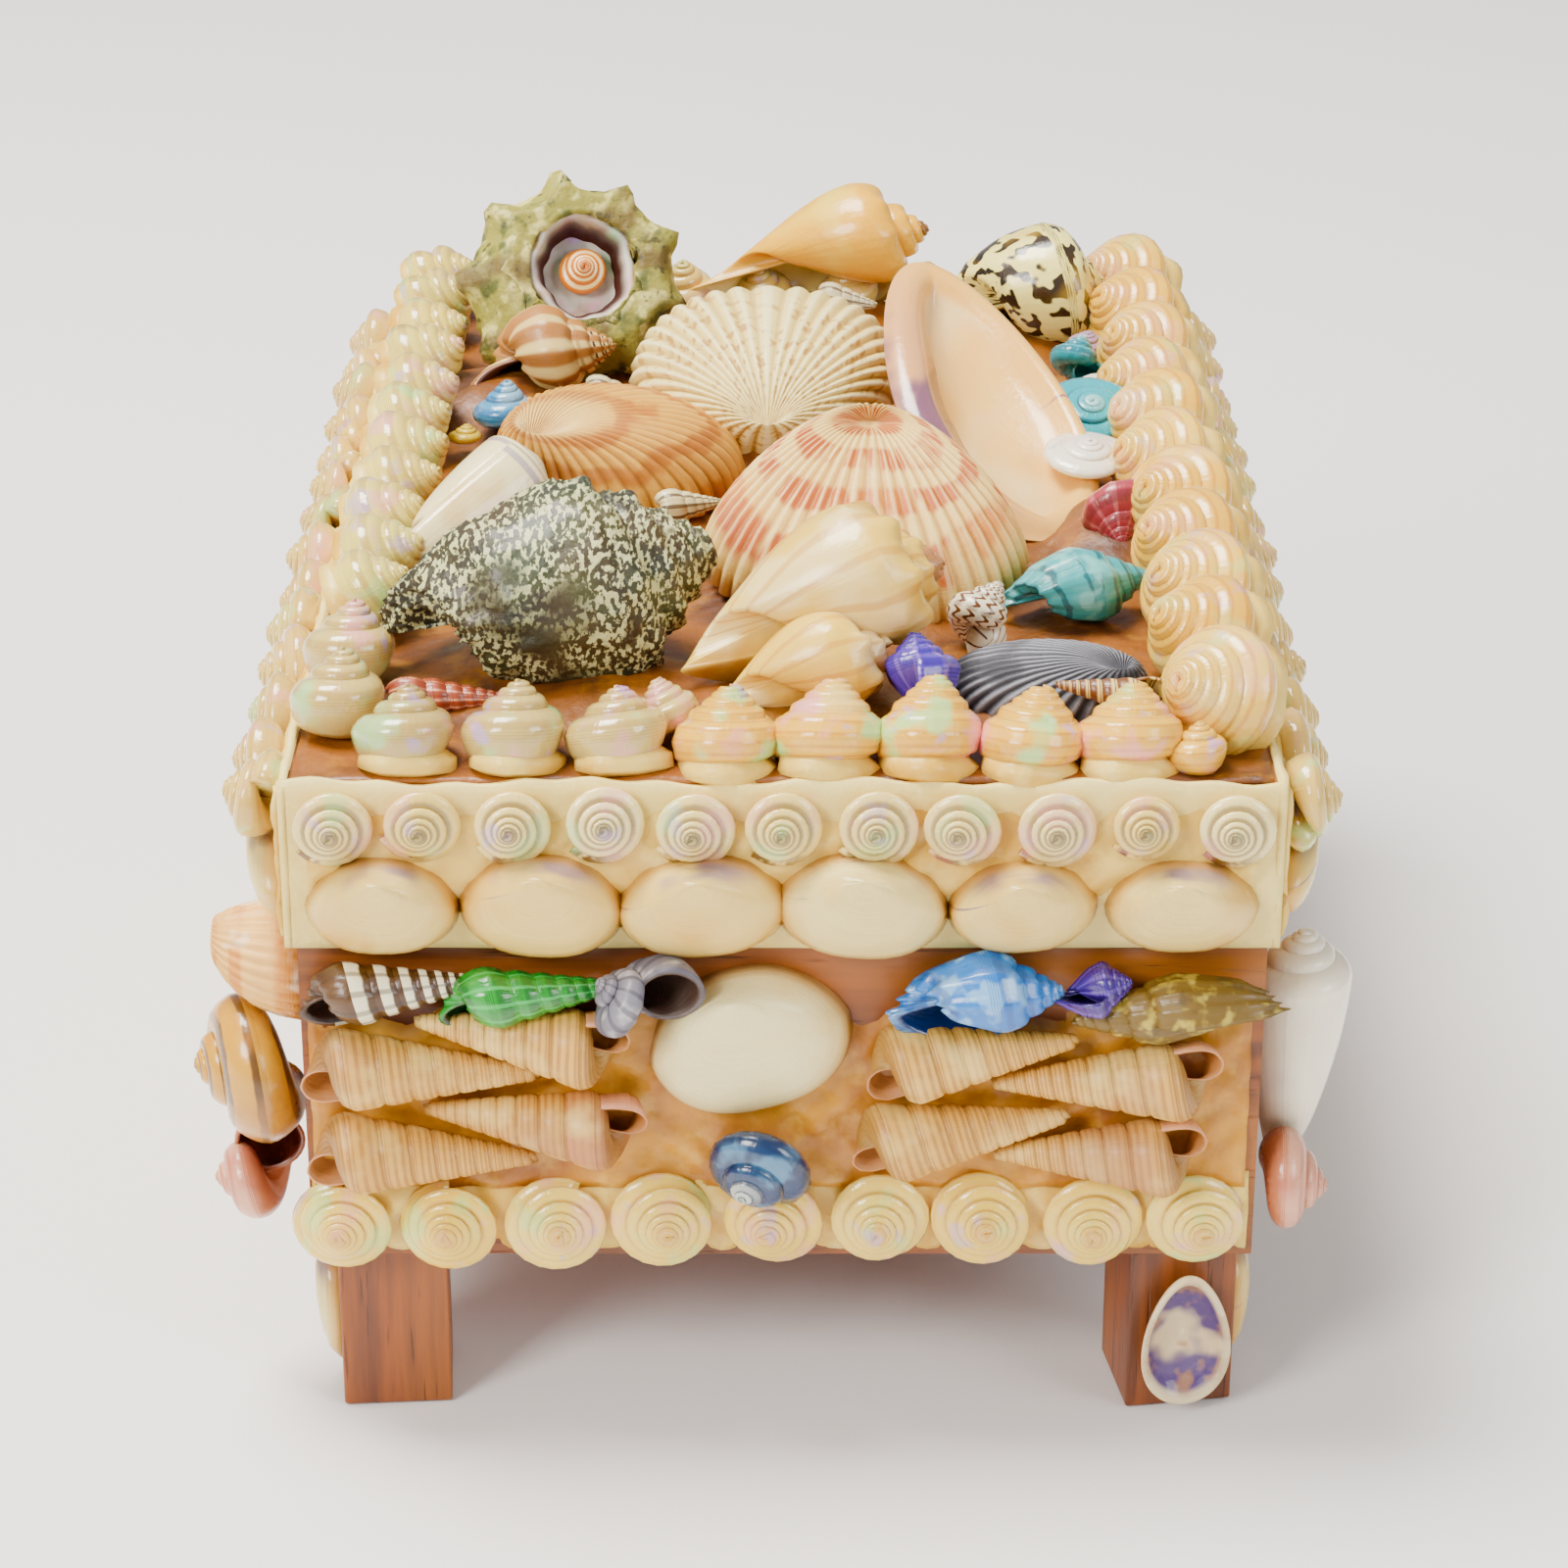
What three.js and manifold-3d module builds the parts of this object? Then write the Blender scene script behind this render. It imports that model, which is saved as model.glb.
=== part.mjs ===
// A shell box: a small wooden box on four block legs, under a lift-off lid covered in paper.
// Sea shells are glued over the lid, round its rim and over the walls of the box.
// Millimetres, +Z up, front towards -Y. The origin is on the ground under the middle of the object.
import * as THREE from "three";
import { mergeVertices } from "three/addons/utils/BufferGeometryUtils.js";
import Module from "manifold-3d";

const wasm = await Module();
wasm.setup();

// Lid: a board with a thin papered skirt that slips over the box
const lidWidth = 110;
const lidLength = 165;
const lidHeight = 20;
const lidBoard = 3;
const lidRecess = 0.7;
const skirtWall = 0.9;
const lidClearance = 0.3;

// Box
const boxWall = 3;
const boxFloor = 3;
const boxBelowLid = 40;

// Legs
const legHeight = 21;
const legWidth = 12.6;
const legInset = 2.2;

// Glue
const glueLine = 0.05;
const glueBed = 0.8;
const glueStrip = 1.6;
const pileGap = 0.3;

// Shells that repeat in rows
const buttonRadius = 4.8;
const buttonHeight = 4.8;
const buttonPitch = 9.8;
const sideButtonRadius = 5.4;
const sideButtonHeight = 7;
const sideButtonPitch = 11.4;
const clamWidth = 17.6;
const clamHeight = 11.2;
const clamDepth = 4.6;
const clamPitch = 17.7;
const baseButtonRadius = 5.9;
const baseButtonHeight = 6.2;
const baseButtonPitch = 12.1;
const borderRadius = 5.6;
const borderHeight = 10.5;
const borderPitch = 11.5;
const rightBorderRadius = 7.6;
const rightBorderHeight = 12;
const rightBorderPitch = 16.6;
const augerRadius = 4.6;
const augerLift = 4.3;

// Sizes that follow
const lidBottom = legHeight + boxBelowLid;
const lidTop = lidBottom + lidHeight;
const boardTop = lidTop - lidRecess;
const boxTop = boardTop - lidBoard - glueLine;
const boxWidth = lidWidth - 2 * (skirtWall + lidClearance);
const boxLength = lidLength - 2 * (skirtWall + lidClearance);
const quarter = Math.PI / 2;

// Finishes
function finish(color, roughness, metalness = 0) {
  return new THREE.MeshStandardMaterial({ color, roughness, metalness });
}
const paperFinish = finish(0xe3cf98, 0.75);
const woodFinish = finish(0xa8612a, 0.5);
const legFinish = finish(0x9a5a22, 0.4);
const pearlFinish = finish(0xe6d8b8, 0.25);
const peachFinish = finish(0xe2bd85, 0.3);
const whiteFinish = finish(0xefe4c8, 0.35);
const augerFinish = finish(0xd6b083, 0.5);
const cockleFinish = finish(0xe0b184, 0.55);
const creamFinish = finish(0xe6d2a4, 0.5);
const darkFinish = finish(0x55563f, 0.7);
const mossFinish = finish(0x9a9560, 0.7);
const spottedFinish = finish(0xb7a877, 0.4);
const whelkFinish = finish(0xcfae95, 0.45);
const pinkFinish = finish(0xc98a7e, 0.4);
const blueFinish = finish(0x5588b0, 0.35);
const tealFinish = finish(0x5b9fa3, 0.35);
const greenFinish = finish(0x3fa055, 0.35);
const purpleFinish = finish(0x6a549a, 0.35);
const roseFinish = finish(0xa8505c, 0.35);
const greyFinish = finish(0x85828a, 0.6);
const brownFinish = finish(0x6b4a35, 0.45);
const oliveFinish = finish(0x80693a, 0.55);

// Solids and geometries

function toSolid(geometry, matrix = new THREE.Matrix4()) {
  const bare = new THREE.BufferGeometry();
  bare.setAttribute("position", geometry.getAttribute("position").clone());
  if (geometry.index) bare.setIndex(geometry.index.clone());
  bare.applyMatrix4(matrix);
  const merged = mergeVertices(bare, 1e-4);
  return new wasm.Manifold(
    new wasm.Mesh({
      numProp: 3,
      vertProperties: new Float32Array(merged.attributes.position.array),
      triVerts: new Uint32Array(merged.index.array),
    }),
  );
}

function toGeometry(solid) {
  const mesh = solid.getMesh();
  const geometry = new THREE.BufferGeometry();
  geometry.setAttribute("position", new THREE.BufferAttribute(new Float32Array(mesh.vertProperties), 3));
  geometry.setIndex(new THREE.BufferAttribute(new Uint32Array(mesh.triVerts), 1));
  return geometry;
}

function remade(solid) {
  return toSolid(toGeometry(solid));
}

// The largest of the bodies that a cut leaves
function mainBody(solid) {
  return solid.decompose().reduce((best, body) => (body.volume() > best.volume() ? body : best));
}

function meet(one, other) {
  const [a, b] = [one.boundingBox(), other.boundingBox()];
  return [0, 1, 2].every((i) => a.min[i] < b.max[i] && b.min[i] < a.max[i]);
}

function block(width, length, bottom, top, x = 0, y = 0) {
  const geometry = new THREE.BoxGeometry(width, length, top - bottom);
  geometry.translate(x, y, (top + bottom) / 2);
  return geometry;
}

// A closed skin over rings of equal point counts, with one point at each end
function skin(rings, first, last) {
  const sides = rings[0].length;
  const points = [first, ...rings.flat(), last];
  const at = (ring, side) => 1 + ring * sides + (side % sides);
  const faces = [];
  for (let side = 0; side < sides; side++) {
    faces.push(0, at(0, side + 1), at(0, side));
    for (let ring = 0; ring + 1 < rings.length; ring++) {
      const [a, b] = [at(ring, side), at(ring, side + 1)];
      const [c, d] = [at(ring + 1, side), at(ring + 1, side + 1)];
      faces.push(a, b, d, a, d, c);
    }
    faces.push(at(rings.length - 1, side), at(rings.length - 1, side + 1), points.length - 1);
  }
  const geometry = new THREE.BufferGeometry().setFromPoints(points);
  geometry.setIndex(faces);
  return geometry;
}

// A shell turned about +Z through stations [height, radius], which shape() swells by angle
function turned(stations, sides, shape = () => 1) {
  const rings = stations.slice(1, -1).map(([height, radius]) =>
    Array.from({ length: sides }, (_, side) => {
      const angle = (2 * Math.PI * side) / sides;
      const reach = radius * shape(angle, height);
      return new THREE.Vector3(reach * Math.cos(angle), reach * Math.sin(angle), height);
    }),
  );
  return skin(rings, new THREE.Vector3(0, 0, stations[0][0]), new THREE.Vector3(0, 0, stations.at(-1)[0]));
}

// How far a lip at angle 0 stands out, as a share, fading over `width` radians
function lip(amount, width) {
  return (angle) => {
    const away = Math.min(angle, 2 * Math.PI - angle) / width;
    return 1 + amount * Math.exp(-away * away);
  };
}

// Shell kinds. Each is made about its own axis, +Z, with its apex up and its mouth towards +X.

// A button shell or small top shell that stands on its flat base
function buttonShell(radius, height, sides = 6) {
  return turned(
    [
      [0, 0],
      [0, radius * 0.86],
      [height * 0.34, radius],
      [height, 0],
    ],
    sides,
  );
}

// A plainer one for the sides, as a low cone
function coneShell(radius, height, sides = 5) {
  return turned(
    [
      [0, 0],
      [0, radius],
      [height * 0.2, radius],
      [height, 0],
    ],
    sides,
  );
}

// A top shell with a rounded base and a stepped spire
function topShell(radius, height, sides = 7) {
  return turned(
    [
      [0, 0],
      [0, radius * 0.7],
      [height * 0.27, radius],
      [height * 0.6, radius * 0.56],
      [height, 0],
    ],
    sides,
  );
}

// A turban whose whorls climb in a helix, with blunt knobs round the widest one
function turbanShell(radius, height, knobs, knobSize, sides = 14) {
  const whorls = 2.4;
  const rise = [-0.42, -0.36, -0.2, 0, 0.14, 0.28, 0.42, 0.54, 0.58];
  const swell = [0, 0.45, 0.82, 1, 0.93, 0.74, 0.55, 0.27, 0];
  const shape = (angle, z) => {
    const turn = (z / height) * whorls + angle / (2 * Math.PI);
    const whorl = 0.07 * Math.cos(2 * Math.PI * turn);
    const knob = knobs ? knobSize * Math.max(0, Math.cos(knobs * angle)) : 0;
    return 1 + whorl + knob;
  };
  return turned(rise.map((z, i) => [z * height, swell[i] * radius]), sides, shape);
}

// A long spire: an auger, turret or cerith, broad end at 0 and tip at `length`
function spireShell(length, radius, whorls, sides = 6, taper = 0.1) {
  const stations = [
    [0, 0],
    [0, radius * 0.82],
  ];
  for (let whorl = 0; whorl < whorls; whorl++) {
    const share = (whorl + 0.45) / whorls;
    const next = (whorl + 1) / whorls;
    stations.push([share * length, radius * (1 - share * (1 - taper))]);
    if (whorl < whorls - 1) stations.push([next * length, radius * 0.86 * (1 - next * (1 - taper))]);
  }
  stations.push([length, 0]);
  return turned(stations, sides);
}

// A whelk or conch: canal at 0, widest at the shoulder, pointed spire at `length`, lip towards +X
function whelkShell(length, radius, { shoulder = 0.6, lipSize = 0.3, sides = 9 } = {}) {
  const stations = [
    [0, 0],
    [length * 0.03, radius * 0.22],
    [length * 0.28, radius * 0.62],
    [length * shoulder, radius],
    [length * (shoulder + 0.1), radius * 0.8],
    [length * (shoulder + 0.16), radius * 0.5],
    [length * 0.9, radius * 0.24],
    [length, 0],
  ];
  const flare = lip(lipSize, 0.8);
  return turned(stations, sides, (angle, z) => (z < length * (shoulder + 0.05) ? flare(angle) : 1));
}

// One valve of a bivalve, domed up from a flat back, with its beak towards -Y
function valveShell(width, height, depth, { ribs = 0, sides = 8, beak = 0.34, bands = [0.5, 0.85], foot = 0 } = {}) {
  const count = ribs ? 2 * ribs : sides;
  const rim = (side) => {
    const angle = (2 * Math.PI * side) / count;
    const flute = ribs ? (side % 2 ? 0.965 : 1.02) : 1;
    const narrow = 1 - 0.16 * Math.max(0, -Math.sin(angle));
    return new THREE.Vector3((width / 2) * flute * narrow * Math.cos(angle), (height / 2) * flute * Math.sin(angle), 0);
  };
  const umbo = new THREE.Vector3(0, -height * beak, depth * 0.86);
  const band = (share) =>
    Array.from({ length: count }, (_, side) => {
      const point = rim(side).lerp(new THREE.Vector3(0, -height * beak, 0), 1 - share);
      point.z = depth * Math.sqrt(Math.max(0, 1 - share ** 2.6)) + (ribs && side % 2 ? -0.035 * depth : 0);
      return point;
    });
  const edge = Array.from({ length: count }, (_, side) => rim(side));
  return skin([edge, ...[...bands].reverse().map(band)], new THREE.Vector3(0, 0, -foot), umbo);
}

// A hollow half shell that lies on its back, dished by its wall, with a thick rolled rim on one side
function dishShell(width, length, depth, wall, sides = 12) {
  const oval = (share, z) =>
    Array.from({ length: sides }, (_, side) => {
      const angle = (2 * Math.PI * side) / sides;
      const pinch = 1 - 0.22 * Math.sin(angle);
      return new THREE.Vector3((width / 2) * share * pinch * Math.cos(angle), (length / 2) * share * Math.sin(angle), z);
    });
  const inner = 1 - (2 * wall) / width;
  return skin(
    [oval(0.55, depth * 0.12), oval(0.86, depth * 0.5), oval(1, depth), oval(inner, depth), oval(inner * 0.7, depth * 0.45)],
    new THREE.Vector3(0, 0, 0),
    new THREE.Vector3(0, 0, wall),
  );
}

// A turn that sends +Z along `axis` and +X as near `facing` as it can
function aim(axis, facing) {
  const z = new THREE.Vector3(...axis).normalize();
  const x = new THREE.Vector3(...facing);
  x.addScaledVector(z, -x.dot(z)).normalize();
  const y = new THREE.Vector3().crossVectors(z, x);
  return new THREE.Matrix4().makeBasis(x, y, z);
}

// A placed piece: its solid and the room it takes up, which is a little larger all round
function piece(geometry, matrix = new THREE.Matrix4()) {
  geometry.computeBoundingBox();
  const [size, centre] = [new THREE.Vector3(), new THREE.Vector3()];
  geometry.boundingBox.getSize(size);
  geometry.boundingBox.getCenter(centre);
  const swell = new THREE.Matrix4().makeTranslation(...centre.toArray());
  swell.scale(new THREE.Vector3(...size.toArray().map((length) => 1 + (2 * pileGap) / length)));
  swell.multiply(new THREE.Matrix4().makeTranslation(...centre.clone().negate().toArray()));
  return { solid: toSolid(geometry, matrix), room: toSolid(geometry, matrix.clone().multiply(swell)) };
}

function put(geometry, at, axis = [0, 0, 1], facing = [1, 0, 0]) {
  return piece(geometry, aim(axis, facing).setPosition(...at));
}

function union(solids) {
  return solids.reduce((all, one) => all.add(one));
}

function join(pieces) {
  return { solid: union(pieces.map((one) => one.solid)), room: union(pieces.map((one) => one.room)) };
}

// Evenly spaced places along a span, as many as its pitch allows
function places(span, pitch) {
  const count = Math.max(2, Math.round(span / pitch) + 1);
  return Array.from({ length: count }, (_, i) => -span / 2 + (span * i) / (count - 1));
}

// The object
const shellBox = new THREE.Group();

function addMesh(group, name, geometry, material) {
  const mesh = new THREE.Mesh(geometry, material);
  mesh.name = name;
  group.add(mesh);
  return mesh;
}

// A heap of pieces: each one that is added is cut clear of those before it and of what it is glued to
function heap(group, ...before) {
  const standing = [...before];
  return function add(name, { solid, room }, material) {
    let cut = solid;
    for (const other of standing) if (meet(cut, other)) cut = mainBody(remade(cut.subtract(other)));
    standing.push(room);
    addMesh(group, name, toGeometry(cut), material);
  };
}

// Carcass and lid

function boxBody() {
  const outside = toSolid(block(boxWidth, boxLength, legHeight, boxTop));
  const inside = block(boxWidth - 2 * boxWall, boxLength - 2 * boxWall, legHeight + boxFloor, boxTop + 1);
  return toGeometry(outside.subtract(toSolid(inside)));
}

function lidTray() {
  const outside = toSolid(block(lidWidth, lidLength, lidBottom, lidTop));
  const [width, length] = [lidWidth - 2 * skirtWall, lidLength - 2 * skirtWall];
  const underneath = block(width, length, lidBottom - 1, boardTop - lidBoard);
  const recess = block(width, length, boardTop, lidTop + 1);
  return toGeometry(outside.subtract(toSolid(underneath)).subtract(toSolid(recess)));
}

addMesh(shellBox, "box_body", boxBody(), woodFinish);
addMesh(shellBox, "lid", lidTray(), paperFinish);

const legTurns = { front_left: 4, front_right: 9, rear_left: -3, rear_right: 2 };
for (const [corner, turn] of Object.entries(legTurns)) {
  const leg = addMesh(shellBox, `leg_${corner}`, block(legWidth, legWidth, 0, legHeight - glueLine), legFinish);
  const [sideX, sideY] = [corner.endsWith("left") ? -1 : 1, corner.startsWith("front") ? -1 : 1];
  leg.position.x = sideX * (boxWidth / 2 - legInset - legWidth / 2);
  leg.position.y = sideY * (boxLength / 2 - legInset / 2 - legWidth / 2);
  leg.rotation.z = THREE.MathUtils.degToRad(turn);
}

// Panels: the upright faces that shells are glued to. In a panel's frame x runs to the right as it is
// seen from outside, y runs up from the panel's lower edge and z stands out of the face.
function panel(turn, reach, bottom) {
  const turned = new THREE.Group();
  turned.rotation.z = turn;
  const face = new THREE.Group();
  face.rotation.x = quarter;
  face.position.set(0, -reach - glueLine, bottom);
  turned.add(face);
  shellBox.add(turned);
  return face;
}

const frontTurn = 0;
const rightTurn = quarter;
const rearTurn = 2 * quarter;
const leftTurn = -quarter;

// The glue that a row is set in, on a panel
function bed(width, depth, height, middle = 0) {
  return piece(new THREE.BoxGeometry(width, depth, glueBed).translate(middle, height, glueBed / 2));
}

// A row of shells on the face of a panel, all at one height
function faceRow(span, pitch, height, make, middle = 0) {
  return places(span, pitch).map((x, i) => put(make(i), [x + middle, height, 0]));
}

const rimMargin = 5.8;
const buttonLine = lidHeight - buttonRadius + 0.4;
const clamLine = 4.9;

// Lid rim, front: button shells over clams
const lidFront = panel(frontTurn, lidLength / 2, lidBottom);
const addRim = heap(lidFront, toSolid(block(lidWidth * 2, 4 * lidHeight, -20, 0)));
const buttonSpan = lidWidth - 2 * rimMargin;
const rimButtons = faceRow(buttonSpan, buttonPitch, buttonLine, () => buttonShell(buttonRadius, buttonHeight));
addRim("lid_front_button_row", join([bed(buttonSpan + buttonRadius, 2 * buttonRadius - 1, buttonLine - 0.5), ...rimButtons]), pearlFinish);
const clamSpan = lidWidth - clamWidth - 4.5;
const rimClam = () => valveShell(clamWidth, clamHeight, clamDepth, { bands: [0.72] }).rotateZ(2 * quarter);
const rimClams = faceRow(clamSpan, clamPitch, clamLine, rimClam);
addRim("lid_front_clam_row", join([bed(clamSpan + clamWidth - 2, clamHeight - 3, clamLine - 0.6), ...rimClams]), whiteFinish);

// Lid rim, sides and rear: shells with their spires out, over clams
function rimShells(length) {
  const line = lidHeight - sideButtonRadius;
  const buttonReach = length - 2 * (sideButtonRadius + 1);
  const buttons = faceRow(buttonReach, sideButtonPitch, line, () => coneShell(sideButtonRadius, sideButtonHeight));
  const clams = faceRow(length - clamWidth - 2.4, clamPitch, clamLine + 0.5, () =>
    valveShell(clamWidth + 1, clamHeight - 1.4, clamDepth, { sides: 6, bands: [0.72] }).rotateZ(2 * quarter),
  );
  const glue = bed(length - 1.2, lidHeight - 0.8, lidHeight / 2);
  return toGeometry(join([glue, ...buttons, ...clams]).solid);
}

addMesh(panel(leftTurn, lidWidth / 2, lidBottom), "lid_left_shells", rimShells(lidLength), pearlFinish);
addMesh(panel(rightTurn, lidWidth / 2, lidBottom), "lid_right_shells", rimShells(lidLength), pearlFinish);
addMesh(panel(rearTurn, lidLength / 2, lidBottom), "lid_rear_shells", rimShells(lidWidth), pearlFinish);

// Box front
const boxFront = panel(frontTurn, boxLength / 2, legHeight);
const baseLine = 5.6;
const baseSpan = boxWidth - 10.6;

// Four augers lie head to tail in each fan. Each runs from the middle of its broad end to its tip: shares
// of the box's half width across, and millimetres up.
const leftFan = [
  [[-1.039, 26.5], [-0.426, 24.9]],
  [[-0.279, 27.9], [-0.825, 32.4]],
  [[-0.242, 17.7], [-0.816, 21.2]],
  [[-1.033, 15.8], [-0.44, 14.1]],
];
const rightFan = [
  [[0.132, 25.9], [0.682, 29.8]],
  [[0.955, 25.2], [0.364, 23.8]],
  [[0.102, 15.8], [0.671, 20.3]],
  [[0.924, 15.3], [0.375, 14.9]],
];

function augerFan(lines) {
  const augers = lines.map(([[fromShare, fromY], [toShare, toY]]) => {
    const [fromX, toX] = [(fromShare * boxWidth) / 2, (toShare * boxWidth) / 2];
    const length = Math.hypot(toX - fromX, toY - fromY);
    return put(spireShell(length, augerRadius, 3), [fromX, fromY, augerLift], [toX - fromX, toY - fromY, -2], [0, 0, 1]);
  });
  const middle = ((lines[0][0][0] + lines[1][0][0]) * boxWidth) / 4;
  const bedding = piece(new THREE.BoxGeometry(glueStrip, 11, 1.8).translate(middle, 20, 0.9));
  return join([bedding, ...augers]);
}

function valveOn(at, width, height, depth, beakTo, options) {
  return put(valveShell(width, height, depth, options), at, [0, 0, 1], beakTo);
}

// Front: the base row, the white clam and blue turban, the fans beside them and the loose shells above.
// Places across are shares of the box's half width.
function frontShells() {
  const add = heap(boxFront, toSolid(block(boxWidth * 2, boxBelowLid * 4, -20, 0)));
  const out = [0, 0, 1];
  const on = (share, up, rise) => [(share * boxWidth) / 2, up, rise];
  const shelf = boxBelowLid - 5.6;
  const baseMiddle = -1.3;
  const buttons = faceRow(
    baseSpan,
    baseButtonPitch,
    baseLine,
    () => buttonShell(baseButtonRadius, baseButtonHeight),
    baseMiddle,
  );
  const baseBed = bed(baseSpan + baseButtonRadius, 2 * baseButtonRadius - 2, baseLine, baseMiddle);
  add("front_base_button_row", join([baseBed, ...buttons]), pearlFinish);
  add("front_clam", valveOn(on(-0.071, 28.4, 0.1), 21.8, 15.6, 6.2, [-1, 0.06, 0], { sides: 12, bands: [0.66] }), whiteFinish);
  add("blue_turban", put(topShell(6, 8.6, 9), on(-0.041, 15.4, 2.4), [-0.35, -0.35, 0.85], [0, 1, 0]), blueFinish);
  add("front_auger_fan_left", augerFan(leftFan), augerFinish);
  add("front_auger_fan_right", augerFan(rightFan), augerFinish);
  const banded = spireShell(18, 3.2, 4, 7, 0.12);
  add("banded_cerith", put(banded, on(-0.978, shelf + 0.4, 3.5), [1, 0.13, -0.06], out), brownFinish);
  const green = spireShell(18, 3.1, 4, 7, 0.2);
  add("green_cerith", put(green, on(-0.691, shelf - 0.2, 3.5), [1, 0.13, -0.06], out), greenFinish);
  const snail = whelkShell(12.5, 4.5, { lipSize: 0.4, sides: 8 });
  add("grey_snail", put(snail, on(-0.171, shelf - 1, 4.4), [-0.9, 0.42, 0.1], [0.2, -0.4, 1]), greyFinish);
  const whelk = whelkShell(20, 4.7, { sides: 8 });
  add("blue_whelk", put(whelk, on(0.234, shelf - 0.4, 4.6), [1, 0.1, -0.05], [0, -0.5, 1]), blueFinish);
  const olive = whelkShell(24, 3.8, { lipSize: 0.1, sides: 8 });
  add("olive_cerith", put(olive, on(1.015, shelf + 0.2, 3.8), [-1, -0.1, 0], out), oliveFinish);
  const violet = whelkShell(9.5, 3.1, { sides: 7 });
  add("violet_snail", put(violet, on(0.554, shelf + 0.8, 3.4), [0.9, 0.2, 0.05], out), purpleFinish);
}

// Box sides and rear: clams over button shells, with larger single shells towards the front
const wallClamLine = 29;
const wallButtonLine = 13;
const sideLead = 24;
const wallSpan = boxLength - sideLead - 34;
const boxLeft = panel(leftTurn, boxWidth / 2, legHeight);
const boxRight = panel(rightTurn, boxWidth / 2, legHeight);
const boxRear = panel(rearTurn, boxLength / 2, legHeight);

function wallShells(span, shift) {
  const clams = places(span, 22).map((x) =>
    valveOn([x + shift, wallClamLine, 0], 20.5, 15, 6, [1, 0.15, 0], { sides: 6, bands: [0.7] }),
  );
  const buttons = faceRow(span, 14, wallButtonLine, () => coneShell(baseButtonRadius + 0.8, baseButtonHeight, 6), shift);
  const middle = (wallClamLine + wallButtonLine) / 2;
  return toGeometry(join([bed(span + 21, 32, middle, shift), ...clams, ...buttons]).solid);
}
addMesh(boxLeft, "left_wall_shells", wallShells(wallSpan, -sideLead / 2), whiteFinish);
addMesh(boxRight, "right_wall_shells", wallShells(wallSpan, sideLead / 2), whiteFinish);
addMesh(boxRear, "rear_wall_shells", wallShells(boxWidth - 26, 0), whiteFinish);

function sideShells() {
  const wall = toSolid(block(boxLength * 2, boxBelowLid * 4, -20, 0));
  const lead = boxLength / 2 - 9;
  const left = heap(boxLeft, wall);
  left("striped_snail", put(topShell(8.4, 13, 10), [lead, 21.8, 0.6], [0.1, 0, 1], [0, 1, 0]), spottedFinish);
  left("coral_clam", valveOn([lead - 0.6, 33.6, 0.1], 17, 11.6, 11, [-1, 0.2, 0], { ribs: 7 }), pinkFinish);
  left("pink_snail_left", put(topShell(6.2, 11.6, 9), [lead, 6.6, 0.9], [0.1, -0.1, 1], [0, 1, 0]), pinkFinish);
  const right = heap(boxRight, wall);
  const cowrie = whelkShell(33.6, 6.4, { shoulder: 0.55, lipSize: 0.1, sides: 10 });
  right("pink_snail_right", put(topShell(5.8, 8.8, 9), [-lead - 2.8, 6.6, 0.6], [-0.1, -0.1, 1], [0, 1, 0]), roseFinish);
  right("white_cowrie", put(cowrie, [-lead + 1.5, 4.6, 5], [0, 1, 0.02], [0, 0, 1]), whiteFinish);
}

// Valves on the front of the right leg and on the outer sides of both front legs
function legValves() {
  const legX = boxWidth / 2 - legInset - legWidth / 2;
  const legY = boxLength / 2 - legInset / 2 - legWidth / 2;
  const half = legWidth / 2 + glueLine;
  const valves = [
    ["leg_valve_front", 1, legTurns.front_right, 0, purpleFinish, 10.4, 17.4],
    ["leg_valve_right", 1, legTurns.front_right, 90, whiteFinish, 9.8, 14],
    ["leg_valve_left", -1, legTurns.front_left, -90, whiteFinish, 9.8, 14],
  ];
  for (const [name, side, turn, face, material, width, height] of valves) {
    const angle = THREE.MathUtils.degToRad(turn + face);
    const out = [Math.sin(angle), -Math.cos(angle), 0];
    const at = [side * legX + half * out[0], -legY + half * out[1], 10.2];
    const valve = put(valveShell(width, height, 3, { sides: 9 }), at, out, [-Math.cos(angle), -Math.sin(angle), 0]);
    addMesh(shellBox, name, toGeometry(valve.solid), material);
  }
}

// Lid top. Spots are shares of half the lid's width and length, from its middle.
const [halfWidth, halfLength] = [lidWidth / 2 - skirtWall, lidLength / 2 - skirtWall];
const base = boardTop + glueLine;

function lidEnvelope() {
  const outside = toSolid(block(lidWidth, lidLength, lidTop - 12, lidTop + glueLine));
  return outside.subtract(toSolid(block(2 * halfWidth, 2 * halfLength, base, lidTop + 1)));
}

function topRow(from, to, pitch, make, axis, facing, reach) {
  const [start, end] = [new THREE.Vector3(...from), new THREE.Vector3(...to)];
  const span = start.distanceTo(end);
  const solids = places(span, pitch).map((x, i) => {
    const at = start.clone().lerp(end, (x + span / 2) / span);
    return put(make(i), at.toArray(), axis, facing);
  });
  const middle = start.clone().lerp(end, 0.5);
  const along = Math.abs(end.x - start.x) > Math.abs(end.y - start.y);
  const length = span + borderRadius;
  const strip = new THREE.BoxGeometry(along ? length : reach, along ? reach : length, 2 * glueBed);
  strip.translate(middle.x, middle.y, base + glueBed);
  return join([piece(strip), ...solids]);
}

function spot(shareX, shareY, rise) {
  return [(shareX * lidWidth) / 2, (shareY * lidLength) / 2, base + rise];
}

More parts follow.
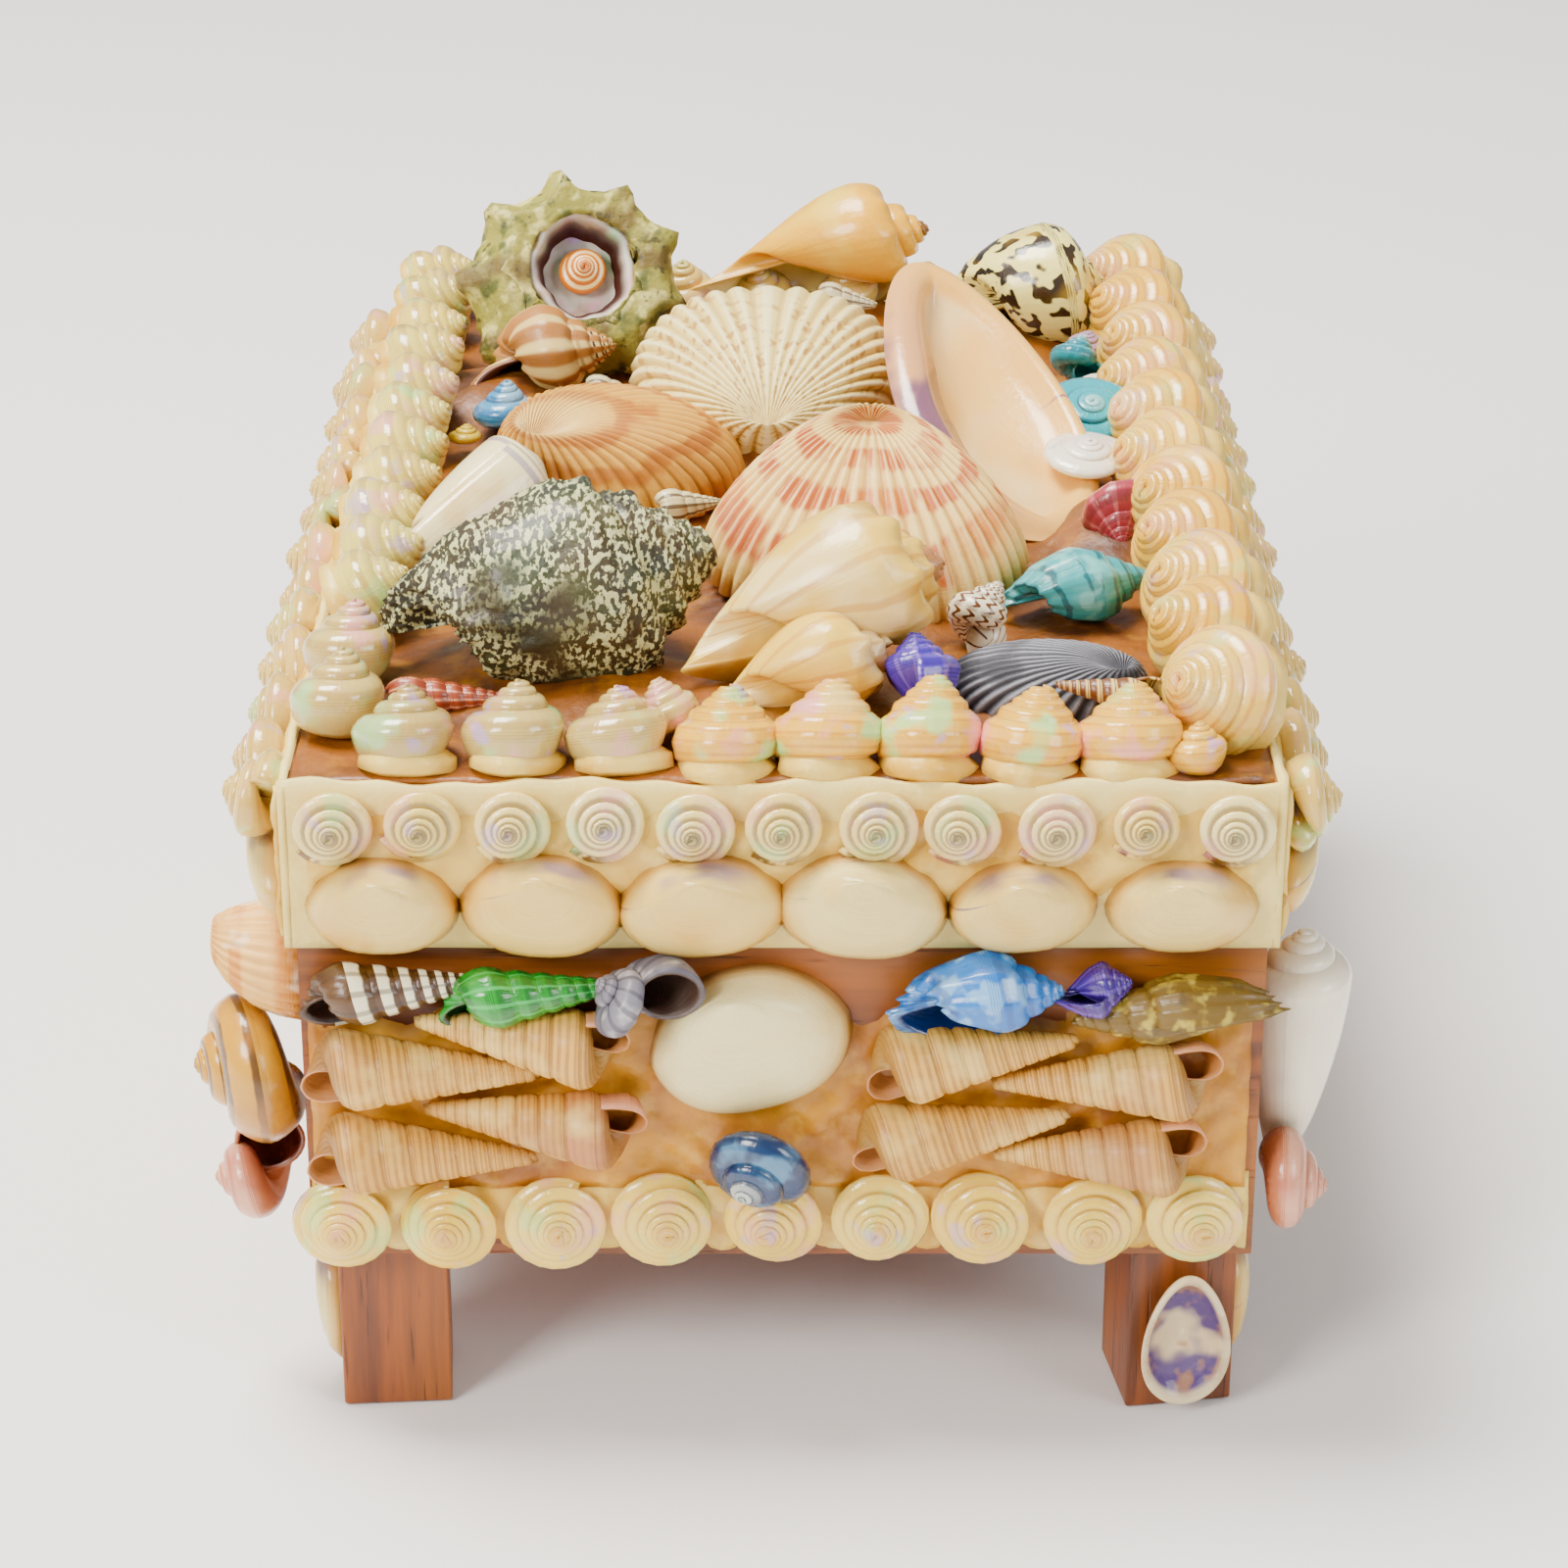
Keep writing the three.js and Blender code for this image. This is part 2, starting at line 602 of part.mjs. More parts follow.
function topBorders(add) {
  const upright = () => topShell(borderRadius, borderHeight, 5);
  const leant = () => topShell(borderRadius, borderHeight - 1, 5);
  const front = topRow(spot(-0.75, -0.93, 0), spot(0.693, -0.93, 0), borderPitch, upright, [0.02, 0.3, 1], [1, 0, 0], 9);
  const small = put(topShell(3.4, 6, 6), spot(0.83, -0.945, 0), [0.02, 0.2, 1]);
  const tie = piece(block(0.2 * lidWidth, 4, base, base + glueBed, 0.36 * lidWidth, -0.465 * lidLength));
  add("top_front_border", join([front, small, tie]), peachFinish);
  const corner = [-0.83, -0.66].map((share) => put(upright(), spot(-0.9, share, 0.4), [0.1, 0.25, 1]));
  const left = topRow(spot(-0.93, -0.49, 4), spot(-0.93, 0.925, 4), borderPitch, leant, [1, -0.12, 0.5], [0, 1, 0], 6);
  const cornerBed = piece(block(6, 0.22 * lidLength, base, base + 2 * glueBed, -0.45 * lidWidth, -0.34 * lidLength));
  add("top_left_border", join([left, cornerBed, ...corner]), pearlFinish);
  const large = () => topShell(rightBorderRadius, rightBorderHeight, 5);
  const right = topRow(spot(0.93, -0.81, 4.4), spot(0.93, 0.9, 4.4), rightBorderPitch, large, [-0.9, -0.3, 0.6], [0, 1, 0], 6);
  add("top_right_border", right, peachFinish);
  const behind = () => topShell(borderRadius - 0.4, borderHeight - 1, 5);
  const rear = topRow(spot(-0.68, 0.92, 0), spot(0.6, 0.92, 0), borderPitch, behind, [0, -0.2, 1], [1, 0, 0], 8);
  add("top_rear_border", rear, pearlFinish);
}

// A pad of glue that carries a shell lying clear of the board
function pad(shareX, shareY, width, height) {
  const [x, y] = spot(shareX, shareY, 0);
  return piece(block(width, width, base, base + height, x, y));
}

function topShells(add) {
  const one = (name, geometry, at, axis, facing, material, pads = []) =>
    add(name, join([put(geometry, at, axis, facing), ...pads]), material);
  const cockle = (width, height, depth, foot) =>
    valveShell(width, height, depth, { ribs: 12, bands: [0.66], foot });
  const [up, right] = [[0, 0, 1], [1, 0, 0]];
  one("dark_turban", turbanShell(12.4, 39, 9, 0.06), spot(-0.505, -0.6, 9.4), [1, 0.35, 0.25], up, darkFinish);
  const conch = whelkShell(31, 8.6, { lipSize: 0.45, sides: 10 });
  one("beige_conch", conch, spot(-0.215, -0.755, 6.2), [1, 0.35, 0.22], [0.1, -0.6, -0.5], creamFinish);
  const ark = valveShell(12.5, 24, 8, { ribs: 8, bands: [0.66] });
  one("grey_ark", ark, spot(0.54, -0.72, 0.1), [0.1, -0.35, 1], [0.1, 1, 0.3], greyFinish);
  one("small_auger", spireShell(15, 2.2, 4, 6), spot(0.79, -0.835, 4.4), [-1, 0.1, 0.12], up, brownFinish, [
    pad(0.7, -0.83, 3, 4.6),
  ]);
  one("purple_whelk", whelkShell(10, 3.5, { sides: 7 }), spot(0.285, -0.84, 0.1), [-0.1, 0.6, 0.85], [0, -1, 0], purpleFinish);
  one("spotted_snail", topShell(4.1, 9, 8), spot(0.37, -0.585, 1.8), [0.35, 0.25, 0.5], right, whiteFinish);
  one("pink_cerith", spireShell(17, 2.3, 4, 7, 0.3), spot(-0.81, -0.76, 2.2), [1, 0.02, -0.02], up, roseFinish);
  one("teal_whelk", whelkShell(20.5, 4.5, { sides: 8 }), spot(0.48, -0.485, 4.8), [0.95, 0.42, 0.05], [0, -0.4, -1], tealFinish);
  one("cockle_front", cockle(37.5, 27.5, 12, 6), spot(0.18, -0.315, 4.6), [0, -0.24, 1], [-1, 0.06, 0], cockleFinish);
  const olive = whelkShell(24, 5.6, { shoulder: 0.7, lipSize: 0.1, sides: 8 });
  one("pale_olive", olive, spot(-0.81, -0.34, 4.6), [0.62, 0.6, 0.3], [0, -0.5, 1], creamFinish, [
    pad(-0.68, -0.2, 6, 8),
  ]);
  one("cockle_left", cockle(29, 33.5, 12.5, 4), spot(-0.385, 0.03, 3.6), [0.02, -0.1, 1], [0.1, -1, 0], cockleFinish);
  one("rose_turban", topShell(4.6, 9, 8), spot(0.745, -0.1, 6), [0.05, -0.6, -0.32], right, roseFinish, [
    pad(0.745, -0.12, 4, 5),
  ]);
  one("pearl_button", topShell(6.2, 5.4, 9), spot(0.69, 0.07, 0.5), [0.1, -0.1, 1], right, whiteFinish);
  one("turquoise_button", topShell(7, 5.6, 9), spot(0.72, 0.24, 2), [0.1, -0.45, 1], right, tealFinish);
  one("teal_ribbed_snail", topShell(3.6, 7, 7), spot(0.7, 0.5, 2.6), [0.3, 0.5, 0.8], right, tealFinish);
  one("white_spiral_snail", topShell(3.4, 5.4, 7), spot(0.76, 0.4, 2.4), [-0.1, -0.5, 0.8], right, whiteFinish);
  one("boat_shell", dishShell(25, 48, 8, 2), spot(0.45, 0.11, 6), [0.3, -0.42, 0.9], [1, 0.45, -0.1], creamFinish);
  one("cockle_rear", cockle(35, 28, 10, 4), spot(-0.035, 0.27, 9.4), [0, -0.62, 0.86], [1, 0, 0], cockleFinish, [
    pad(-0.035, 0.25, 10, 6),
  ]);
  one("blue_top_shell", topShell(4.6, 8.6, 8), spot(-0.66, 0.29, 0.4), [0.05, 0.1, 1], right, blueFinish);
  one("ribbed_whelk", whelkShell(22, 6.2, { sides: 9, lipSize: 0.4 }), spot(-0.78, 0.47, 5.4), [1, 0.05, 0.12], [-0.1, -1, 0.3], whelkFinish, [
    pad(-0.6, 0.47, 6, 5),
  ]);
  one("spiny_turban", turbanShell(12.8, 21, 9, 0.2, 18), spot(-0.51, 0.68, 11.6), [0.12, -0.8, 0.5], up, mossFinish);
  one("spotted_nerite", turbanShell(9, 25, 0, 0), spot(0.56, 0.76, 6.8), [1, 0.2, 0.05], up, spottedFinish);
  one("yellow_conch", whelkShell(32, 6.8, { lipSize: 0.4, sides: 10 }), spot(-0.19, 0.88, 7), [1, 0.06, 0.2], [0.1, -0.6, -0.5], creamFinish, [
    pad(0.1, 0.87, 8, 6),
  ]);
}

frontShells();
sideShells();
legValves();
const onLid = heap(shellBox, lidEnvelope());
topBorders(onLid);
topShells(onLid);

// The origin is under the middle of the object's reach
const reach = new THREE.Box3().setFromObject(shellBox);
const centre = reach.getCenter(new THREE.Vector3());
shellBox.position.set(-centre.x, -centre.y, 0);

export default shellBox;
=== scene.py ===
import math

import bmesh
import bpy
import numpy as np
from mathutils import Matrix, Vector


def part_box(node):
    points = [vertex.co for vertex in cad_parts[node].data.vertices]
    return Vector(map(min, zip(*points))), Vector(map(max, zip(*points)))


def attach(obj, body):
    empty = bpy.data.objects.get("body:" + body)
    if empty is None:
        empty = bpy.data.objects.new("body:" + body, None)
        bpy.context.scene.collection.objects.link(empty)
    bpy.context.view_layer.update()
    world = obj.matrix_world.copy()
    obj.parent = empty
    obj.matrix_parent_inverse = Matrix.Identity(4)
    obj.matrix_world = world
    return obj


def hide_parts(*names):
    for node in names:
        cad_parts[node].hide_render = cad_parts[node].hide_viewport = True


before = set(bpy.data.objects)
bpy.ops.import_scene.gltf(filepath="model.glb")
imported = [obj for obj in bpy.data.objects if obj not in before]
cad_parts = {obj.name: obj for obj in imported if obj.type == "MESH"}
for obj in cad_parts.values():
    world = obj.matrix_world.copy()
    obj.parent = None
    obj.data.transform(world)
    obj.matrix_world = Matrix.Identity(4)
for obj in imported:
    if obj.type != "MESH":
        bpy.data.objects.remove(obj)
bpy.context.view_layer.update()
random = np.random.default_rng(17)
lidLow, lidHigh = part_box("lid")
shift = np.array([(lidLow.x + lidHigh.x) * 500, (lidLow.y + lidHigh.y) * 500, 0.0])
tau = 2 * math.pi
out = (0, 0, 1)
right = (1, 0, 0)

lidWidth, lidLength, lidHeight = 110.0, 165.0, 20.0
lidBottom, boardTop = 61.0, 80.3
legHeight, legWidth, legInset = 21.0, 12.6, 2.2
boxWidth, boxLength = 107.6, 162.6
base = boardTop + 0.05

# Camera, at the photo's angle, with its place in millimetres from the lid's middle
cameraView = {"lens": 98.06, "film": 36, "aside": 0.2, "away": 502.66, "height": 276.93, "tilt": 65}
cameraData = bpy.data.cameras.new("camera")
cameraData.lens, cameraData.sensor_width = cameraView["lens"], cameraView["film"]
cameraData.clip_start, cameraData.clip_end = 0.02, 20
camera = bpy.data.objects.new("camera", cameraData)
cameraPlace = shift + [cameraView["aside"], -cameraView["away"], cameraView["height"]]
camera.location = cameraPlace / 1000
camera.rotation_euler = (math.radians(cameraView["tilt"]), 0, 0)
bpy.context.scene.collection.objects.link(camera)
bpy.context.scene.camera = camera


# Shader maths

# A colour from its screen code, deepened a little because the view makes colours paler
def rgb(code):
    parts = [int(code[i : i + 2], 16) / 255 for i in (0, 2, 4)]
    red, green, blue = [(((c + 0.055) / 1.055) ** 2.4 if c > 0.04045 else c / 12.92) ** 1.3 for c in parts]
    middle, warm = (red + green + blue) / 3, max(0, red - blue)
    full = [middle + (c - middle) * 1.25 for c in (red, green + 0.08 * warm, blue)]
    return (*[min(1, max(0.002, c)) for c in full], 1)


class Wire:
    def __init__(self, paint, socket):
        self.paint, self.socket = paint, socket

    def math(self, kind, other=0.0, first=None):
        return self.paint.node(
            "ShaderNodeMath", {"operation": kind}, {0: self if first is None else first, 1: other}
        )

    def __add__(self, other):
        return self.math("ADD", other)

    def __sub__(self, other):
        return self.math("SUBTRACT", other)

    def __mul__(self, other):
        return self.math("MULTIPLY", other)

    def __rsub__(self, other):
        return self.math("SUBTRACT", self, other)

    __radd__, __rmul__ = __add__, __mul__

    def sine(self):
        return (self * tau).math("SINE") * 0.5 + 0.5

    def below(self, low, high):
        return 1 - self.above(low, high)

    def near(self, middle, low, high):
        return (self - middle).math("ABSOLUTE").below(low, high)

    def above(self, low, high):
        sockets = {"Value": self, "From Min": low, "From Max": high}
        return self.paint.node("ShaderNodeMapRange", {"interpolation_type": "SMOOTHSTEP"}, sockets)


class Paint:
    def __init__(self, name):
        self.material = bpy.data.materials.new(name)
        self.material.use_nodes = True
        self.tree = self.material.node_tree
        self.shader = self.tree.nodes["Principled BSDF"]
        self.known = {}

    def node(self, kind, settings=None, sockets=None, result=0):
        node = self.tree.nodes.new(kind)
        for key, value in (settings or {}).items():
            setattr(node, key, value)
        for key, value in (sockets or {}).items():
            if isinstance(value, Wire):
                self.tree.links.new(value.socket, node.inputs[key])
            else:
                node.inputs[key].default_value = value
        return Wire(self, node.outputs[result])

    def get(self, name):
        if name not in self.known:
            self.known[name] = self.node("ShaderNodeAttribute", {"attribute_name": name}, result=2)
        return self.known[name]

    def place(self):
        if "place" not in self.known:
            self.known["place"] = self.node("ShaderNodeTexCoord", result=3)
        return self.known["place"]

    def noise(self, scale, detail=3.0, stretch=None, rough=0.55):
        vector = self.place()
        if stretch:
            vector = self.node("ShaderNodeVectorMath", {"operation": "MULTIPLY"}, {0: vector, 1: stretch})
        sockets = {"Vector": vector, "Scale": scale, "Detail": detail, "Roughness": rough}
        return self.node("ShaderNodeTexNoise", sockets=sockets)

    def grown(self, turn, across, detail=2.0, extra=7.0):
        parts = {0: self.get("turn") * turn, 1: self.get("across") * across, 2: self.get("tint") * extra}
        vector = self.node("ShaderNodeCombineXYZ", sockets=parts)
        return self.node("ShaderNodeTexNoise", sockets={"Vector": vector, "Scale": 1.0, "Detail": detail})

    def mix(self, factor, one, other):
        one, other = [rgb(c) if isinstance(c, str) else c for c in (one, other)]
        return self.node(
            "ShaderNodeMix", {"data_type": "RGBA", "clamp_factor": True}, {0: factor, 6: one, 7: other}, 2
        )

    def finish(self, colour, roughness=0.4, coat=0.0, bump=None, bumpSize=0.0002, soft=0.0, strength=1.0):
        sockets = {"Base Color": colour, "Roughness": roughness, "Coat Weight": coat}
        if bump is not None:
            sockets["Normal"] = self.node(
                "ShaderNodeBump", sockets={"Strength": strength, "Distance": bumpSize, "Height": bump}
            )
        for key, value in sockets.items():
            if isinstance(value, Wire):
                self.tree.links.new(value.socket, self.shader.inputs[key])
            else:
                self.shader.inputs[key].default_value = rgb(value) if isinstance(value, str) else value
        self.shader.inputs["Coat Roughness"].default_value = 0.12
        if soft:
            self.shader.inputs["Subsurface Weight"].default_value = soft
            self.shader.inputs["Subsurface Radius"].default_value = (1.0, 0.7, 0.45)
            self.shader.inputs["Subsurface Scale"].default_value = 0.0025
        return self.material


# One finish for all shells: a base colour, layers over it, a mother-of-pearl sheen and growth lines
def shellFinish(name, look):
    paint = Paint(name)
    tint = paint.get("tint")
    colour = paint.mix(tint, look["base"], look.get("other", look["base"]))
    for shade, mask in look.get("layers", []):
        colour = paint.mix(mask(paint), colour, shade)
    if look.get("nacre"):
        drift = paint.noise(150, 2.0)
        for shade, low, high in (("f3a9c6", 0.54, 0.68), ("a9ecb8", 0.44, 0.32), ("bfa9ee", 0.6, 0.72)):
            source = drift if shade != "bfa9ee" else paint.noise(230, 2.0)
            colour = paint.mix(source.above(low, high) * look["nacre"], colour, shade)
    dirt = paint.noise(90, 4.0).above(0.35, 0.75)
    colour = paint.mix(dirt * look.get("dirt", 0.15), colour, look.get("shadow", "b98a50"))
    if "inner" in look:
        colour = paint.mix(paint.get("inside"), colour, look["inner"])
    lines = paint.grown(look.get("lines", 60), 1.5, 1.0)
    height = lines * look.get("lineSize", 0.35) + paint.noise(900, 3.0) * 0.4
    roughness = paint.noise(260, 3.0) * 0.2 + (look.get("roughness", 0.35) - 0.1)
    return paint.finish(
        colour, roughness, look.get("coat", 0.2), height, look.get("bump", 0.00018), look.get("soft", 0.06)
    )


def spots(scale, low, high, stretch=None):
    return lambda paint: paint.noise(scale, 2.0, stretch).above(low, high)


def turnBands(count, low=0.45, high=0.7, wobble=0.0):
    def mask(paint):
        value = paint.get("turn") * count
        if wobble:
            value = value + paint.noise(200, 2.0) * wobble
        return value.sine().above(low, high)

    return mask


def spiralBands(count, low=0.5, high=0.75, wobble=0.0):
    def mask(paint):
        value = paint.get("across") * count
        if wobble:
            value = value + paint.noise(160, 2.0) * wobble
        return value.sine().above(low, high)

    return mask


def share(amount, other):
    return lambda paint: other(paint) * amount


# Meshes: a part is its points, its faces and its values at each point

class Part:
    def __init__(self, points, faces, values):
        self.points, self.faces, self.values = points, faces, values

    def moved(self, matrix):
        points = self.points @ matrix[:3, :3].T + matrix[:3, 3]
        return Part(points, self.faces, self.values)

    def tinted(self, tint):
        return Part(self.points, self.faces, {**self.values, "tint": np.full(len(self.points), tint)})


valueNames = ("grow", "turn", "across", "tint", "inside")


# A closed skin over rings (rings, sides, 3), with a point at each end
def skin(rings, values):
    count, sides = rings.shape[:2]
    points = np.concatenate([rings.reshape(-1, 3), rings[0].mean(0)[None], rings[-1].mean(0)[None]])
    ring, side = np.meshgrid(np.arange(count - 1), np.arange(sides), indexing="ij")
    follow = (side + 1) % sides
    here, there = ring * sides, (ring + 1) * sides
    quads = np.stack([here + side, here + follow, there + follow, there + side], -1)
    turn = np.arange(sides)
    last = (count - 1) * sides
    first = np.stack([np.full(sides, count * sides), (turn + 1) % sides, turn], -1)
    end = np.stack([np.full(sides, count * sides + 1), last + turn, last + (turn + 1) % sides], -1)
    faces = quads.reshape(-1, 4).tolist() + first.tolist() + end.tolist()
    full = {}
    for name in valueNames:
        value = np.broadcast_to(values.get(name, 0.0), (count, sides)).astype(float)
        full[name] = np.concatenate([value.ravel(), [value[0].mean()], [value[-1].mean()]])
    return Part(points, faces, full)


def aim(axis, facing, at=(0, 0, 0)):
    z = np.array(axis, float)
    z /= np.linalg.norm(z)
    x = np.array(facing, float)
    x -= z * (x @ z)
    x /= np.linalg.norm(x)
    matrix = np.eye(4)
    matrix[:3, :3] = np.stack([x, np.cross(z, x), z], 1)
    matrix[:3, 3] = at
    return matrix


# A panel's frame: x to the right as seen from outside, y up from its lower edge, z out of the face
def panel(turn, reach, bottom):
    matrix = np.eye(4)
    c, s = math.cos(turn), math.sin(turn)
    spin = np.array([[c, -s, 0], [s, c, 0], [0, 0, 1]])
    matrix[:3, :3] = spin @ np.array([[1, 0, 0], [0, 0, -1], [0, 1, 0]])
    matrix[:3, 3] = spin @ np.array([0, -reach - 0.05, bottom])
    return matrix


def place(part, at, axis=out, facing=right, on=None):
    moved = part.moved(aim(axis, facing, at))
    return moved.moved(on) if on is not None else moved


def spot(shareX, shareY, rise):
    return (shareX * lidWidth / 2, shareY * lidLength / 2, base + rise)


made = {}


def show(name, parts, material, stands=(), smooth=True):
    parts = parts if isinstance(parts, list) else [parts]
    offset, points, faces = 0, [], []
    for part in parts:
        points.append(part.points)
        faces += [[i + offset for i in face] for face in part.faces]
        offset += len(part.points)
    points = (np.concatenate(points) + shift) / 1000
    mesh = bpy.data.meshes.new(name)
    mesh.from_pydata(points.tolist(), [], faces)
    for key in valueNames:
        layer = mesh.attributes.new(key, "FLOAT", "POINT")
        layer.data.foreach_set("value", np.concatenate([p.values[key] for p in parts]).astype(np.float32))
    work = bmesh.new()
    work.from_mesh(mesh)
    bmesh.ops.recalc_face_normals(work, faces=work.faces)
    for face in work.faces:
        face.smooth = smooth
    work.to_mesh(mesh)
    work.free()
    mesh.materials.append(material)
    piece = bpy.data.objects.new(name, mesh)
    bpy.context.scene.collection.objects.link(piece)
    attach(piece, "root")
    if stands:
        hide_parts(*stands)
    made[name] = piece
    return piece


# Shell kinds: a coil stands about +Z with its apex up at its height and its lip towards +X

# Rings crowd towards a coil's last turn: this power spreads them, with fewer on its small first turns
ringPower = 0.65


# A coiled shell: a tube that grows as it winds down from the apex
def coilShell(
    radius, height, turns=5.0, growth=1.6, shoulder=None, canal=1.0, hole=0.5, overlap=0.95, flat=1.0,
    sit=False, ribs=0, ribSize=0.0, cords=0, cordSize=0.0, knobs=0, knobSize=0.0, knobAt=0.9, rough=0.0,
    mouth=True, lip=0.0, wall=0.14, tuck=0.0, steps=22, sides=16,
):
    radius = radius * growth ** 0.3
    drop = height / (1 + overlap * (1 - 1 / growth)) if shoulder is None else (1 - shoulder) * height
    upper = overlap * drop * (1 - 1 / growth)
    lower = height - drop
    around = np.linspace(0, tau, sides, endpoint=False)[None, :]
    middle, tube = radius * hole, radius * (1 - hole)

    def rings(t, shrink, plain):
        t = t[:, None]
        size = growth ** (t - turns)
        swell = np.ones((len(t), sides))
        if not plain:
            if ribs:
                swell += ribSize * (0.5 + 0.5 * np.cos(tau * ribs * t)) ** 2
            if cords:
                swell += cordSize * np.cos(cords * around)
            if knobs:
                peak = (0.5 + 0.5 * np.cos(tau * knobs * t)) ** 3
                swell += knobSize * peak * np.exp(-(((around - knobAt) / 0.38) ** 2))
                second = np.exp(-(((around - knobAt + 1.1) / 0.34) ** 2))
                swell += 0.6 * knobSize * np.roll(peak, 3, 0) * second
            if rough:
                swell += rough * random.standard_normal(swell.shape)
        outward = np.exp(-(((np.cos(around) - 1) / 1.1) ** 2))
        swell *= 1 + lip * np.exp(-(((turns - t) / 0.1) ** 2)) * outward
        x = np.cos(around) * swell * shrink
        z = np.sin(around) * swell * shrink
        down = np.clip(-np.sin(around), 0, 1) ** 1.6 * (0.0 if shoulder is None else canal)
        reach = (1 - down) * (middle + tube * x) + down * (0.3 * middle + 0.16 * tube * x)
        late = np.clip((t - turns + 0.45) / 0.45, 0, 1)
        reach = reach * (1 - tuck * late * late * (3 - 2 * late))
        below = lower * flat
        if sit:
            settled = np.clip((t - turns + 1) / 0.4, 0, 1)
            below = lower * flat + settled * (height / size - drop - lower * flat)
        rise = np.where(z > 0, z * upper, z * below) - drop
        angle = -tau * (t - turns)
        reach = reach * size
        return np.stack([reach * np.cos(angle), reach * np.sin(angle), height + rise * size], -1)

    t = turns * np.linspace(0, 1, max(8, int(turns * steps * ringPower)) + 1) ** ringPower
    shape = rings(t, 1.0, False)
    values = {"grow": (t / turns)[:, None], "turn": t[:, None], "across": around / tau, "inside": 0.0}
    if mouth:
        back = np.linspace(turns, turns - 0.5, max(4, int(0.4 * steps)))
        shape = np.concatenate([shape, rings(back, 1 - wall, True)])
        t = np.concatenate([t, back])
        inside = np.concatenate([np.zeros(len(t) - len(back)), np.ones(len(back))])
        values = {
            "grow": (t / turns)[:, None], "turn": t[:, None], "across": around / tau,
            "inside": inside[:, None],
        }
    return skin(shape, values)


# One valve of a bivalve, domed up from a flat back, beak towards -Y
def valveShell(
    width, height, depth, ribs=0, ribSize=0.0, rings=6, ringSize=0.06, beak=0.34, dimple=0.22, power=2.3,
    foot=0.0, wall=0.9, sides=48, steps=22,
):
    around = np.linspace(0, tau, sides, endpoint=False)[None, :]
    along = np.linspace(0.02, 1, steps)[:, None]
    narrow = 1 - 0.16 * np.clip(-np.sin(around), 0, 1)
    bulge = np.sign(np.cos(around)) * np.abs(np.cos(around)) ** 0.82
    rim = np.stack([width / 2 * narrow * bulge, height / 2 * np.sin(around)], -1)
    umbo = np.array([0, -height * beak])
    flat = umbo + along[..., None] * (rim - umbo)
    dome = depth * (1 - along ** power) ** 0.56 * (1 - dimple * np.exp(-((along / 0.16) ** 2)))
    surface = np.concatenate([flat, np.broadcast_to(dome, (steps, sides))[..., None]], -1)
    side = np.roll(surface, -1, 1) - np.roll(surface, 1, 1)
    normal = np.cross(side, np.gradient(surface, axis=0))
    normal *= np.sign(normal[..., 2:3].mean()) or 1
    normal /= np.linalg.norm(normal, axis=-1, keepdims=True) + 1e-9
    raised = ringSize * np.sin(along * rings * tau + 1.2 * np.sin(along * 9)) * along
    if ribs:
        raised = raised + ribSize * (np.abs(np.cos(ribs * around / 2)) - 0.6) * (0.2 + 0.8 * along)
    surface = surface + normal * np.broadcast_to(raised, (steps, sides))[..., None]
    inner = surface[[-1, -3, steps // 2, 1]] * [1 - 2 * wall / width, 1 - 2 * wall / height, 1]
    inner[..., 2] = np.clip(inner[..., 2] - wall, -foot, None)
    inner[0, :, 2] = surface[-1, :, 2] - 0.15
    if foot:
        inner[1:, :, 2] = -foot
    grow = np.concatenate([along, along[[-1, -3, steps // 2, 1]]])
    inside = np.concatenate([np.zeros(steps), np.ones(4)])[:, None]
    return skin(
        np.concatenate([surface, inner]),
        {"grow": grow, "turn": grow * 5, "across": around / tau, "inside": inside},
    )


# A half shell on its back, with its hollow up and one side rolled into a thick rim
def dishShell(width, length, depth, wall, roll=0.0, sides=64, pinch=0.22):
    around = np.linspace(0, tau, sides, endpoint=False)[None, :]
    outer = np.array([0.05, 0.3, 0.55, 0.75, 0.9, 0.97, 1.0])[:, None]
    rim = np.array([1.0, 0.97, 0.92, 0.85])[:, None]
    inner = np.array([0.78, 0.62, 0.42, 0.22, 0.05])[:, None]
    thick = 1 + roll * np.clip(-np.cos(around) + 0.1, 0, 1)

    def ring(size, height):
        squeeze = 1 - pinch * np.sin(around)
        points = [width / 2 * size * squeeze * np.cos(around), length / 2 * size * np.sin(around)]
        shape = np.broadcast(size, around).shape
        return np.stack([np.broadcast_to(p, shape) for p in (*points, height)], -1)

    below = ring(outer, depth * (1 - (1 - outer ** 2.4) ** 0.6))
    edge = ring(1 - (1 - rim) * thick, depth + 0.5 * wall * thick * np.sin((1 - rim) / 0.15 * math.pi))
    above = ring(inner * (1.04 - 0.04 * thick), wall + (depth - wall) * inner ** 2.2)
    grow = np.concatenate([outer, rim, inner])
    inside = np.concatenate([np.zeros(7), np.full(4, 0.5), np.ones(5)])[:, None]
    return skin(
        np.concatenate([below, edge, above]),
        {"grow": grow, "turn": grow * 5, "across": around / tau, "inside": inside},
    )


